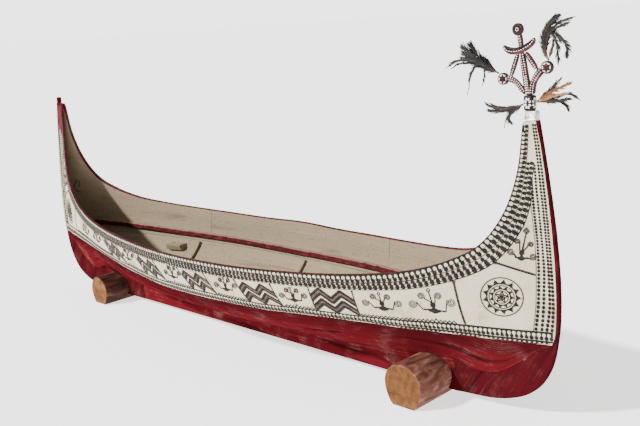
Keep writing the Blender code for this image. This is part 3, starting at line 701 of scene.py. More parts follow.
lugs = {
    "x": -0.898, "length": 0.105, "low": 0.262, "high": 0.298, "depth": 0.034, "gap": 0.0008, "bulge": 0.07,
    "face": 0.85, "foot": 0.55, "lip": (0.002, 0.011), "rings": 13, "round": 0.002,
    "slot": 0.052, "slotRise": 0.017, "slotBack": 0.012, "slotHalf": (0.006, 0.03),
}


def lugPiece(node, side):
    # The carved lug has a slot through it for the thwart's lashing, and an undercut foot.
    s, inside = lugs, hull["thickness"] + lugs["gap"]
    ends = [stationOf(s["x"] + s["length"] * half, "bandFoot") for half in (-0.5, 0.5)]
    points = []
    for i in range(s["rings"]):
        share = i / (s["rings"] - 1)
        station = ends[0] + (ends[1] - ends[0]) * share
        low, high = liningAtHeight(station, s["low"], inside), liningAtHeight(station, s["high"], inside)
        out = s["depth"] * (1 - s["bulge"] + s["bulge"] * math.sin(math.pi * share))
        top = high.y - (high.y - low.y) - out * s["face"]
        ring = [low, high, Vector((high.x, top, high.z)),
                Vector((high.x, top - s["lip"][0], high.z - s["lip"][1])),
                Vector((low.x, low.y - out * s["foot"], low.z))]
        points += [place(p, side) for p in ring]
    piece = addSolid(node + "_carved", points, 5, [insideFinish])
    middle = liningAtHeight(stationOf(s["x"], "bandFoot"), s["low"] + s["slotRise"], inside)
    wide, tall = s["slotHalf"]
    box = [place((s["x"] + s["slot"] / 2 * i, middle.y - s["slotBack"] + wide * j, middle.z + tall * k), side)
           for i in (-1, 1) for j in (-1, 1) for k in (-1, 1)]
    combine(piece, addSolid("slotCutter", box, [
        (0, 1, 3, 2), (4, 6, 7, 5), (0, 4, 5, 1), (2, 3, 7, 6), (0, 2, 6, 4), (1, 5, 7, 3)],
        [insideFinish], flat=True))
    addGrainMap(piece, Vector((1, 0, 0)), Vector((0, 1, 1)))
    roundEdges(piece, s["round"], 40, 2)
    return fitPiece(piece, "inside_tan_paint", node)


def settle(piece):
    # Replaces the piece's mesh with what its modifiers make, and drops them.
    graph = bpy.context.evaluated_depsgraph_get()
    mesh = bpy.data.meshes.new_from_object(piece.evaluated_get(graph))
    piece.modifiers.clear()
    piece.data = mesh
    return piece


def combine(piece, other, operation="DIFFERENCE"):
    # Cuts the other solid away from the piece, or welds it on.
    work = piece.modifiers.new("combine", "BOOLEAN")
    work.operation, work.solver, work.object = operation, "EXACT", other
    settle(piece)
    bpy.data.objects.remove(other)


# A browner, darker tan for the ribs' aft faces: painted shade
ribAftShadeFinish = makePlainPaint("paintedShadeOnRibAftFace", ("#6f5243", "#8c7560", "#a8957c"), 0.75)
for side, sideName in bothSides:
    for part, first, last in thirds(rails["joint"], rails["end"]):
        railPiece(f"rail_{part}_{sideName}", first, last, side)
    for part, x in ribs["places"].items():
        ribPiece(f"rib_{part}_{sideName}", x, side)
    lugPiece("lug_" + sideName, side)
shelfPiece("shelf_bow", 1)
shelfPiece("shelf_stern", -1)
print("inside timbers are built")

logSettings = {
    "sides": 96, "rings": 28, "cornerWidth": 0.35, "unevenness": 0.02, "chamfer": 0.0035,
    "notchGap": 0.0011, "keelGap": 0.0005, "rippleDepth": 0.0022, "crackHalf": 0.0013, "crackEnd": 0.0002,
    "ringGap": 0.0034, "ringWander": 0.022, "ringColour": "#5f3a20",
    "log_bow": {"x": 1.2, "radius": 0.097, "centre": 0.062, "half": 0.235, "flat": 0.056,
                "turn": 0.5, "pith": (0.004, -0.034), "cracks": ((-1, 3.25, 0.9, 0.42),
                (-1, -0.22, 0.95, 0.24), (1, 0.7, 0.95, 0.5), (1, 2.6, 0.95, 0.4)),
                "sideCrack": (-0.1, -0.225, 0.02), "side": ("#44261f", "#6e4234", "#93695a"),
                "end": ("#442813", "#5c3a1e", "#704d2d")},
    "log_stern": {"x": -1.19, "radius": 0.083, "centre": 0.053, "half": 0.178, "flat": 0.046,
                  "turn": 2.1, "pith": (-0.006, -0.02), "cracks": ((-1, 1.2, 0.95, 0.45),
                  (-1, 4.0, 0.95, 0.3), (1, 0.4, 0.95, 0.4)),
                  "sideCrack": (0.3, -0.165, 0.0), "side": ("#1f100c", "#3d2119", "#5f3a2c"),
                  "end": ("#4f3018", "#6b4425", "#805a37")},
}


def makeLogSide(name, colours):
    # Barked and handled log: long fibres and weather checks.
    made, tree, shader = startMaterial(name, {"Roughness": 0.74, "Specular IOR Level": 0.2})
    at = objectPoint(tree)
    fibre = noise(tree, stretched(tree, at, (160, 7, 160)), 1.0, 6.0, 0.62)
    patch = noise(tree, stretched(tree, at, (26, 9, 26)), 1.0, 5.0, distortion=0.8)
    base = ramp(tree, patch, (0.32, 0.5, 0.66), colours)
    base = mixColours(tree, remap(tree, fibre, 0.44, 0.31, 0.8), base, colours[0])
    coat(tree, shader, base, fibre, 0.8, 0.002)
    return made


def makeLogEnd(name, x, z, dark, colours):
    # Sawn end grain: growth rings 3.4 mm apart round the pith, and a darker heart.
    c = logSettings
    made, tree, shader = startMaterial(name, {"Roughness": 0.82, "Specular IOR Level": 0.1})
    at = objectPoint(tree)
    centred = stretched(tree, at, (1, 0, 1), (-x, 0, -z))
    away = addNode(tree, "ShaderNodeVectorMath", {0: centred}, operation="LENGTH").outputs["Value"]
    bent = calculate(tree, "MULTIPLY_ADD", noise(tree, centred, 14.0, 3.0), c["ringWander"], away)
    rings = calculate(tree, "SINE", calculate(tree, "MULTIPLY", bent, 2 * math.pi / c["ringGap"]))
    rings = remap(tree, rings, -1.0, 1.0)
    blotch = noise(tree, at, 30.0, 6.0)
    base = ramp(tree, blotch, (0.3, 0.48, 0.66), colours)
    base = mixColours(tree, remap(tree, rings, 0.0, 1.0, 0.45), base, c["ringColour"])
    base = mixColours(tree, remap(tree, away, 0.045, 0.0, 0.35), base, dark)
    coat(tree, shader, base, calculate(tree, "ADD", rings, blotch), 0.35, 0.001)
    return made


# Near black for the cutters that make the cracks and the notch in the logs: painted shade for these recesses.
crackShadeFinish = makePlainPaint("paintedShadeInsideCrack", ("#120b08", "#26160f", "#3a2418"), 0.9)


def hullCutter(end):
    # The hull from the keel up, a seat gap larger, to notch a log with. Its faces carry the painted shade of
    # the cracks.
    s = logSettings
    stations = sorted(station * end for station in steps(3, 6, 0.2))
    points = []
    for station in stations:
        foot = skin(station, 0)
        side = [Vector((foot.x, backbone["halfTop"] + s["keelGap"], -s["keelGap"])),
                Vector((foot.x, foot.y + s["keelGap"], foot.z - s["keelGap"]))]
        side += [skin(station, h) + outward(station, h) * s["notchGap"] for h in steps(0.25, 2, 0.25)]
        side.append(Vector((side[-1].x, side[-1].y, 0.5)))
        points += [place(p) for p in side] + [place(p, -1) for p in reversed(side)]
    return addSolid("hullCutter", points, 2 * len(side), [crackShadeFinish], flat=True)


def wayOut(angle):
    # The way out from the log's middle, and the way across that.
    return Vector((math.cos(angle), 0, math.sin(angle))), Vector((-math.sin(angle), 0, math.cos(angle)))


def crackWedge(s, end, angle, reach, depth):
    # A drying crack: a thin wedge from near the pith to the bark.
    half, thin = logSettings["crackHalf"], logSettings["crackEnd"]
    centre = Vector((s["x"] + s["pith"][0], end * s["half"], s["centre"] + s["pith"][1]))
    out, side = wayOut(angle)
    start, far = centre + out * s["radius"] * (1 - reach) * 0.5, centre + out * s["radius"] * 1.6
    inward = Vector((0, -end * s["half"] * depth, 0))
    outside = Vector((0, end * 0.01, 0))
    points = [start - side * thin + outside, start + side * thin + outside, far + side * half + outside,
              far - side * half + outside, start + inward * 0.05, far + side * half * 0.3 + inward,
              far - side * half * 0.3 + inward]
    faces = [(0, 1, 2, 3), (0, 4, 1), (1, 4, 5, 2), (2, 5, 6, 3), (3, 6, 4, 0), (4, 6, 5)]
    return addSolid("crack", [place(p) for p in points], faces, [crackShadeFinish], flat=True)


def sideCrack(s):
    # One long check down the side of the log.
    angle, first, last = s["sideCrack"]
    half, thin = logSettings["crackHalf"], logSettings["crackEnd"]
    out, side = wayOut(angle)
    centre = Vector((s["x"], 0, s["centre"]))
    points = []
    for share in np.linspace(0, 1, 9):
        line = centre + Vector((0, first + (last - first) * share, 0))
        bend = side * (0.006 * math.sin(5 * share))
        wide = half * (1 - share) + thin
        for reach, across in ((1.25, -wide), (1.25, wide), (0.9, thin), (0.9, -thin)):
            points.append(place(line + out * (s["radius"] * reach) + bend + side * across))
    return addSolid("sideCrack", points, 4, [crackShadeFinish], flat=True)


def logPiece(node):
    # The log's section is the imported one. The bark side ripples inward between its checks.
    c, s = logSettings, logSettings[node]
    lift = -hullPlace.z - s["centre"]
    start = math.atan2(lift, s["flat"])
    cornerReach = math.hypot(s["flat"], lift) / s["radius"] - 1
    section = []
    for i in range(c["sides"]):
        share = i / (c["sides"] - 1)
        angle = start + (math.pi - 2 * start) * share
        corner = sum(math.exp(-(((angle - at) / c["cornerWidth"]) ** 2)) for at in (start, math.pi - start))
        uneven = c["unevenness"] * math.sin(math.pi * share) * math.sin(3 * angle + s["turn"])
        section.append((angle, s["radius"] * (1 + cornerReach * corner + uneven), share))
    chance = random.Random(node)
    phases = [chance.uniform(0, 6) for _ in range(3)]
    ends = [-s["half"], -s["half"] + c["chamfer"]]
    ys = ends + list(np.linspace(ends[1], -ends[1], c["rings"])[1:-1]) + [-ends[1], -ends[0]]
    points = []
    for index, y in enumerate(ys):
        edge = c["chamfer"] if index in (0, len(ys) - 1) else 0
        for angle, reach, share in section:
            ripple = (math.sin(7 * angle + phases[0] + 9 * y) + math.sin(13 * angle + phases[1] - 14 * y)
                      + math.sin(23 * angle + phases[2] + 30 * y) + 3) / 6
            inner = reach - edge - c["rippleDepth"] * ripple * math.sin(math.pi * share)
            points.append(place((s["x"] + inner * math.cos(angle), y, s["centre"] + inner * math.sin(angle))))
    side = makeLogSide("barkedLog_" + node, s["side"])
    end = makeLogEnd("sawnEnd_" + node, s["x"] + s["pith"][0] + hullPlace.x,
                     s["centre"] + s["pith"][1] + hullPlace.z, s["side"][1], s["end"])
    piece = addSolid(node + "_log", points, c["sides"], [side, end, crackShadeFinish])
    for face in piece.data.polygons:
        face.material_index = 1 if abs(face.normal.y) > 0.8 else 0
    combine(piece, hullCutter(1 if s["x"] > 0 else -1))
    for crack in s["cracks"]:
        combine(piece, crackWedge(s, *crack))
    combine(piece, sideCrack(s))
    piece.data.set_sharp_from_angle(angle=math.radians(40))
    return fitPiece(piece, "log_wood", node)


logPiece("log_bow")
logPiece("log_stern")
print("logs are built")

# How long and how wide a prism of unit radius is, by its number of sides.
shapeSpans = {6: (2.0, 1.732), 8: (2.0, 2.0)}


def namedInputs(tree, sockets):
    # The tree's inputs and output. Returns the identifier of each input.
    tree.is_modifier = True
    keys = {}
    for name, kind in (("Geometry", "Geometry"), *sockets):
        keys[name] = tree.interface.new_socket(
            name=name, in_out="INPUT", socket_type="NodeSocket" + kind).identifier
    tree.interface.new_socket(name="Geometry", in_out="OUTPUT", socket_type="NodeSocketGeometry")
    return keys


def readPoints(tree, name, kind="FLOAT_VECTOR"):
    return firstOutput(tree, "GeometryNodeInputNamedAttribute", {"Name": name}, data_type=kind)


def finishTree(tree, points, shape, rotation, scale, finish):
    # One copy of the shape at each point, made real and given its finish.
    copies = firstOutput(tree, "GeometryNodeInstanceOnPoints", {
        "Points": points, "Instance": shape, "Rotation": rotation, "Scale": scale})
    real = firstOutput(tree, "GeometryNodeRealizeInstances", {"Geometry": copies})
    painted = firstOutput(tree, "GeometryNodeSetMaterial", {"Geometry": real, "Material": finish})
    addNode(tree, "NodeGroupOutput", {"Geometry": painted})


def makeShapeTree():
    # A small prism at each point. The points say which way it faces and points, and its sizes.
    tree = bpy.data.node_groups.new("carvedShapes", "GeometryNodeTree")
    keys = namedInputs(tree, (("Sides", "Int"), ("Depth", "Float"), ("Uneven", "Float"), ("Seed", "Int"),
                              ("Finish", "Material")))
    given = addNode(tree, "NodeGroupInput").outputs
    prism = addNode(tree, "GeometryNodeMeshCylinder", {
        "Vertices": given["Sides"], "Radius": 1.0, "Depth": 1.0}, fill_type="NGON").outputs["Mesh"]
    prism = firstOutput(tree, "GeometryNodeTransform", {"Geometry": prism, "Translation": (0, 0, -0.5)})
    turn = firstOutput(tree, "FunctionNodeAxesToRotation", {
        0: readPoints(tree, "facing"), 1: readPoints(tree, "along")},
        primary_axis="Z", secondary_axis="X")
    least, most = [calculate(tree, sign, 1.0, given["Uneven"]) for sign in ("SUBTRACT", "ADD")]
    uneven = addNode(tree, "FunctionNodeRandomValue", {2: least, 3: most, 8: given["Seed"]},
                     data_type="FLOAT").outputs[1]
    size = firstOutput(tree, "ShaderNodeVectorMath", {0: readPoints(tree, "shapeSize"), "Scale": uneven},
                       operation="SCALE")
    part = addNode(tree, "ShaderNodeSeparateXYZ", {0: size}).outputs
    scale = firstOutput(tree, "ShaderNodeCombineXYZ", {0: part[0], 1: part[1], 2: given["Depth"]})
    finishTree(tree, given["Geometry"], prism, turn, scale, given["Finish"])
    return tree, keys


def makeBarbTree():
    # A thin tapering barb at each point, bent toward the tip of its feather.
    tree = bpy.data.node_groups.new("featherBarbs", "GeometryNodeTree")
    keys = namedInputs(tree, (("Width", "Float"), ("Thickness", "Float"), ("Curl", "Float"),
                              ("Finish", "Material")))
    given = addNode(tree, "NodeGroupInput").outputs
    barb = addNode(tree, "GeometryNodeMeshCone", {
        "Vertices": 3, "Side Segments": 3, "Radius Top": 0.15, "Radius Bottom": 1.0, "Depth": 1.0},
        fill_type="NGON").outputs["Mesh"]
    up = upPart(tree, firstOutput(tree, "GeometryNodeInputPosition"))
    bend = calculate(tree, "MULTIPLY", calculate(tree, "MULTIPLY", up, up), given["Curl"])
    shift = firstOutput(tree, "ShaderNodeCombineXYZ", {0: bend})
    barb = firstOutput(tree, "GeometryNodeSetPosition", {"Geometry": barb, "Offset": shift})
    turn = firstOutput(tree, "FunctionNodeAxesToRotation", {
        0: readPoints(tree, "along"), 1: readPoints(tree, "facing")},
        primary_axis="Z", secondary_axis="Y")
    scale = firstOutput(tree, "ShaderNodeCombineXYZ", {
        0: given["Width"], 1: given["Thickness"], 2: readPoints(tree, "reach", "FLOAT")})
    finishTree(tree, given["Geometry"], barb, turn, scale, given["Finish"])
    return tree, keys


shapeTree, shapeKeys = makeShapeTree()
barbTree, barbKeys = makeBarbTree()


def grow(name, points, attributes, tree, keys, inputs):
    # Runs a tree on loose points that carry attributes, and keeps the result as a plain mesh.
    piece = addMesh(name, points, [], [])
    for key, kind, values in attributes:
        made = piece.data.attributes.new(key, kind, "POINT")
        if kind == "FLOAT":
            made.data.foreach_set("value", values)
        else:
            made.data.foreach_set("vector", [c for value in values for c in value])
    nodes = piece.modifiers.new("nodes", "NODES")
    nodes.node_group = tree
    for key, value in inputs.items():
        nodes[keys[key]] = value
    settle(piece)
    if piece.data.materials[0] is None:
        piece.data.materials.pop(index=0)
    return piece


def growShapes(name, shapes, finish, sides, depth, uneven, seed):
    # Each shape: where, which way it faces, which way it points, its length and its width.
    long, wide = shapeSpans[sides]
    return grow(name, [s[0] for s in shapes], (
        ("facing", "FLOAT_VECTOR", [s[1] for s in shapes]), ("along", "FLOAT_VECTOR", [s[2] for s in shapes]),
        ("shapeSize", "FLOAT_VECTOR", [(s[3] / long, s[4] / wide, 1) for s in shapes])),
        shapeTree, shapeKeys,
        {"Sides": sides, "Depth": depth, "Uneven": uneven, "Seed": seed, "Finish": finish})


def joinPieces(name, pieces):
    # One mesh from several. The first one is kept.
    with bpy.context.temp_override(active_object=pieces[0], selected_editable_objects=pieces):
        bpy.ops.object.join()
    pieces[0].name = pieces[0].data.name = name
    return pieces[0]


def alongPath(points, spacing):
    # Even steps along a smooth line: place and direction.
    given = [Vector(p) for p in points]
    fine = [linePoint(given, i / 12, len(given)) for i in range(12 * (len(given) - 1) + 1)]
    lengths = runningSum([(b - a).length for a, b in zip(fine, fine[1:])])
    count = max(1, round(lengths[-1] / spacing))
    found = []
    for i in range(count + 1):
        at = lengths[-1] * i / count
        k = min(max(int(np.searchsorted(lengths, at)), 1), len(fine) - 1)
        step = fine[k] - fine[k - 1]
        share = (at - lengths[k - 1]) / max(step.length, 1e-9)
        found.append((fine[k - 1] + step * share, step.normalized(), i / count))
    return found


def rounded(outline, times=2):
    # Cuts the corners of a closed outline.
    for _ in range(times):
        outline = [tuple(a * k + b * (1 - k) for a, b in zip(p, q))
                   for p, q in zip(outline, outline[1:] + outline[:1]) for k in (0.75, 0.25)]
    return outline


def polar(centre, reach, turn):
    return centre[0] + reach * math.cos(turn), centre[1] + reach * math.sin(turn)


def circle(centre, radius, count=40):
    return [polar(centre, radius, 2 * math.pi * i / count) for i in range(count)]


def slab(name, outline, low, high, finish, bevel=0.0):
    # A flat carved shape between two values of y, its edges eased.
    piece = addSolid(name, [place((x, y, z)) for y in sorted((low, high)) for x, z in outline], len(outline),
                     [finish])
    if bevel:
        roundEdges(piece, bevel, 50, 2)
        settle(piece)
    return piece


prow = {
    "bevel": 0.0016, "seat": 0.0005, "dot": 0.0044, "dotGap": 0.0088, "dotRise": 0.0008, "dotDepth": 0.0018,
    "forms": {
        "arms": (0.012, ((1.653, 1.2475), (1.637, 1.26), (1.624, 1.278), (1.61, 1.29),
            (1.58, 1.298), (1.58, 1.32), (1.6, 1.316), (1.622, 1.304), (1.641, 1.286),
            (1.652, 1.27), (1.674, 1.27), (1.679, 1.294), (1.691, 1.316), (1.716, 1.352),
            (1.74, 1.332), (1.708, 1.302), (1.699, 1.276), (1.698, 1.2475))),
        "mast": (0.014, ((1.636, 1.402), (1.657, 1.402), (1.672, 1.306), (1.685, 1.256), (1.655, 1.256),
            (1.649, 1.306))),
        "stayAft": (0.01, ((1.621, 1.402), (1.638, 1.398), (1.604, 1.309), (1.588, 1.314))),
        "stayFore": (0.0104, ((1.653, 1.398), (1.668, 1.408), (1.714, 1.346), (1.7, 1.334))),
        "neck": (0.0116, ((1.626, 1.472), (1.646, 1.472), (1.652, 1.416), (1.634, 1.416))),
        "crescent": (0.013, ((1.563, 1.434), (1.573, 1.408), (1.594, 1.395), (1.628, 1.394),
            (1.658, 1.404), (1.687, 1.42), (1.702, 1.438), (1.697, 1.457), (1.685, 1.444),
            (1.666, 1.433), (1.637, 1.422), (1.612, 1.418), (1.586, 1.422))),
    },
    "head": {"centre": (1.63, 1.485), "radius": 0.0225, "thick": 0.015, "edge": 0.003,
             "pupil": (0.004, 0.0007)},
    "discs": {"prow_disc_aft": ((1.565, 1.306), 0.0225), "prow_disc_fore": ((1.748, 1.347), 0.0235)},
    "discThick": 0.016, "discEdge": 0.0022, "star": (0.5, 0.86),
    # rows of dots: half thickness of what carries them, offsets to each side, path
    "rows": (
        (0.006, (-0.0042, 0.0042), ((1.588, 1.309), (1.612, 1.301), (1.633, 1.284), (1.65, 1.259))),
        (0.006, (-0.005, 0.005), ((1.726, 1.34), (1.704, 1.314), (1.69, 1.288), (1.685, 1.256))),
        (0.007, (-0.005, 0.005), ((1.647, 1.394), (1.661, 1.312), (1.669, 1.256))),
        (0.007, (0.0,), ((1.66, 1.312), (1.668, 1.256))),
        (0.005, (0.0,), ((1.629, 1.396), (1.6, 1.316))),
        (0.0052, (0.0,), ((1.662, 1.4), (1.706, 1.342))),
        (0.0058, (-0.0032, 0.0032), ((1.636, 1.46), (1.642, 1.424))),
    ),
    "crescentMiddle": ((1.571, 1.426), (1.584, 1.411), (1.606, 1.406), (1.632, 1.408), (1.66, 1.418),
                       (1.685, 1.433), (1.696, 1.447)),
    "crescentUpper": ((1.694, 1.452), (1.684, 1.4445), (1.666, 1.4335), (1.637, 1.4225), (1.612, 1.4185),
                      (1.586, 1.4225), (1.569, 1.43)),
    "crescentHalf": 0.0065, "crescentRise": 0.0006, "dash": (0.0058, 0.0027), "dashGap": 0.0105,
    "dashOut": 0.0077, "inset": 0.001,
    "block": {"low": (1.657, -0.0175, 1.1905), "high": (1.695, 0.0175, 1.247), "bevel": 0.007,
              "petal": (0.0115, 0.0064), "petalDepth": 0.0026, "petalRise": 0.0008, "reach": 0.0158,
              "squeeze": 0.68},
    "wrap": {"low": 1.1562, "high": 1.19, "aft": 1.654, "fore": 1.7118, "half": 0.015, "taper": 0.006,
             "turns": 8, "groove": 0.0013, "around": 32, "socketGap": 0.0005},
}
prowFinish = makePlainPaint("sootAndRedOnProwCarving", ("#140a0a", "#36171a", "#6a2b2d"), 0.55)
prowRed = makePlainPaint("earthRedOnProwCarving", ("#4a0c12", "#7a151c", "#983033"), 0.55)
limeFinish = makePlainPaint("limeWhiteOnCarving", ("#c9bfb0", "#ece6dc", "#f7f3ea"), 0.65)
soot = makePlainPaint("sootBlackOnProwCarving", ("#080707", "#161212", "#2c2423"), 0.5)


def ringOn(name, centre, inner, outer, y, facing, finish):
    # A low flat ring on a face.
    rise, count = prow["dotRise"], 40
    rings = [circle(centre, r, count) for r in (inner, outer)]
    points = [place((x, y + facing * h, z)) for ring, h in (
        (rings[0], -rise), (rings[1], -rise), (rings[1], rise * 0.8), (rings[0], rise * 0.8))
        for x, z in ring]
    return addSolid(name, points, ringFaces(4, count, loop=True), [finish])


def prowBoard():
    s = prow
    forms = [slab(part, rounded(list(outline)), -thick / 2, thick / 2,
                  prowRed if part in ("crescent", "neck") else prowFinish, s["bevel"])
             for part, (thick, outline) in s["forms"].items()]
    head = s["head"]
    half = head["thick"] / 2
    forms.append(slab("head", circle(head["centre"], head["radius"]), -half, half, prowFinish, head["edge"]))
    board = forms[0]
    for form in forms[1:]:
        combine(board, form, "UNION")
    for centre, radius in s["discs"].values():
        combine(board, slab("seat", circle(centre, radius + s["seat"]), -0.02, 0.02, prowFinish))
    dots = []
    for thick, offsets, path in s["rows"]:
        for facing in (-1, 1):
            for offset in offsets:
                for at, way, _ in alongPath([(x, 0, z) for x, z in path], s["dotGap"]):
                    side = Vector((-way.z, 0, way.x))
                    dots.append((place(at + side * offset + Vector((0, facing * (thick + s["dotRise"]), 0))),
                                 (0, facing, 0), way, s["dot"], s["dot"] * 0.75))
    parts = [board, growShapes("dots", dots, limeFinish, 6, s["dotDepth"] + s["dotRise"], 0.15, 4)]
    middle = list(s["crescentMiddle"])
    upper = rounded([*middle, *s["crescentUpper"]], 1)
    dashes = []
    for facing in (-1, 1):
        y = facing * s["crescentHalf"]
        parts.append(slab("crescentTop", upper, y - facing * s["inset"],
                          y + facing * s["crescentRise"], soot))
        for at, way, _ in alongPath([(x, 0, z) for x, z in middle], s["dashGap"]):
            at = place(at + Vector((0, facing * s["dashOut"], 0)))
            dashes.append((at, (0, facing, 0), way, *s["dash"]))
        for inner, outer, finish in ((0.0092, 0.015, soot), (0.0048, 0.0066, limeFinish)):
            parts.append(ringOn("headRing", head["centre"], inner, outer, facing * half, facing, finish))
        pupil, rise = head["pupil"]
        parts.append(slab("pupil", circle(head["centre"], pupil, 20), facing * (half - s["inset"]),
                          facing * (half + rise), soot))
    parts.append(growShapes("dashes", dashes, limeFinish, 6, s["dotDepth"], 0.1, 5))
    return fitPiece(joinPieces("prow_board_carved", parts), "prow_paint", "prow_board")


def prowDisc(node, centre, radius):
    half = prow["discThick"] / 2
    parts = [slab(node, circle(centre, radius), -half, half, soot, prow["discEdge"])]
    star = [circle(centre, radius * prow["star"][i % 2], 12)[i] for i in range(12)]
    for facing in (-1, 1):
        for name, outline, rise, finish in (
                ("face", circle(centre, radius * 0.76), 0.0004, limeFinish),
                ("star", star, 0.0009, prowFinish),
                ("heart", circle(centre, radius * 0.17, 16), 0.0014, soot)):
            parts.append(slab(name, outline, facing * (half - prow["inset"]), facing * (half + rise), finish))
    return fitPiece(joinPieces(node + "_carved", parts), "prow_paint", node)


def prowBlock():
    # Rounded block with a rosette on each of its four faces.
    s = prow["block"]
    low, high = Vector(s["low"]), Vector(s["high"])
    ring = [(low.x, low.y), (high.x, low.y), (high.x, high.y), (low.x, high.y)]
    points = [place((x, y, z)) for z in np.linspace(low.z, high.z, 5) for x, y in ring]
    block = addSolid("block", points, 4, [soot])
    roundEdges(block, s["bevel"], 40, 4)
    settle(block)
    middle = (low + high) / 2
    shapes = []
    for out in (Vector((1, 0, 0)), Vector((-1, 0, 0)), Vector((0, 1, 0)), Vector((0, -1, 0))):
        reach = (high.x - low.x) / 2 if out.x else high.y
        across = out.cross(Vector((0, 0, 1)))
        for i in range(8):
            turn = 2 * math.pi * (i + 0.5) / 8
            way = across * math.cos(turn) * s["squeeze"] + Vector((0, 0, 1)) * math.sin(turn)
            shapes.append((place(middle + out * (reach + s["petalRise"]) + way * s["reach"]), out,
                           way.normalized(), *s["petal"]))
    petals = growShapes("petals", shapes, limeFinish, 6, s["petalDepth"], 0.08, 6)
    return fitPiece(joinPieces("prow_block_carved", [block, petals]), "prow_paint", "prow_block")


def makeBinding():
    # Bright foil strip wound round the stem head: creased, so it breaks the light into small facets.
    made, tree, shader = startMaterial("creasedAluminiumFoil", {"Metallic": 0.85, "Roughness": 0.34})
    at = objectPoint(tree)
    crease = firstOutput(tree, "ShaderNodeTexVoronoi", {"Vector": at, "Scale": 260.0})
    base = ramp(tree, noise(tree, at, 90.0, 4.0), (0.35, 0.5, 0.65), ("#8b8584", "#c9c8c9", "#f0eff0"))
    coat(tree, shader, base, crease, 0.6, 0.001)
    return made


def roundedSquare(turn, power):
    # The point of a square with round corners at an angle.
    return [math.copysign(abs(c) ** power, c) for c in (math.cos(turn), math.sin(turn))]


def wrapPiece():
    # A strip wound round the post, one turn above the next, over a socket that fits the stem head.
    s, b = prow["wrap"], backbone
    around, rows = s["around"], 8 * s["turns"]
    turns = [2 * math.pi * j / around for j in range(around)]
    points = []
    for share in [i / rows for i in range(rows + 1)]:
        z = s["low"] + (s["high"] - s["low"]) * share
        aft = s["aft"] + s["taper"] * share
        centre, half = (aft + s["fore"]) / 2, (s["fore"] - aft) / 2
        for j, turn in enumerate(turns):
            groove = s["groove"] * abs(math.sin(math.pi * (share * s["turns"] + j / around))) ** 0.5
            x, y = roundedSquare(turn, 0.55)
            points.append(place((centre + x * (half - s["groove"] + groove),
                                 y * (s["half"] - s["groove"] + groove), z)))
    aft, fore = b["postAft"] - s["socketGap"], b["postFore"] + s["socketGap"]
    half = b["halfEdge"] + s["socketGap"]
    for z in (s["high"], s["low"]):
        for turn in turns:
            x, y = roundedSquare(turn, 0.2)
            points.append(place(((aft + fore) / 2 + x * (fore - aft) / 2, y * half, z)))
    piece = addSolid("stem_wrap_wound", points, ringFaces(rows + 3, around, loop=True), [makeBinding()])
    piece.data.set_sharp_from_angle(angle=math.radians(50))
    return fitPiece(piece, "binding", "stem_wrap")


prowBoard()
for node, (centre, radius) in prow["discs"].items():
    prowDisc(node, centre, radius)
prowBlock()
wrapPiece()
print("prow figure is built")

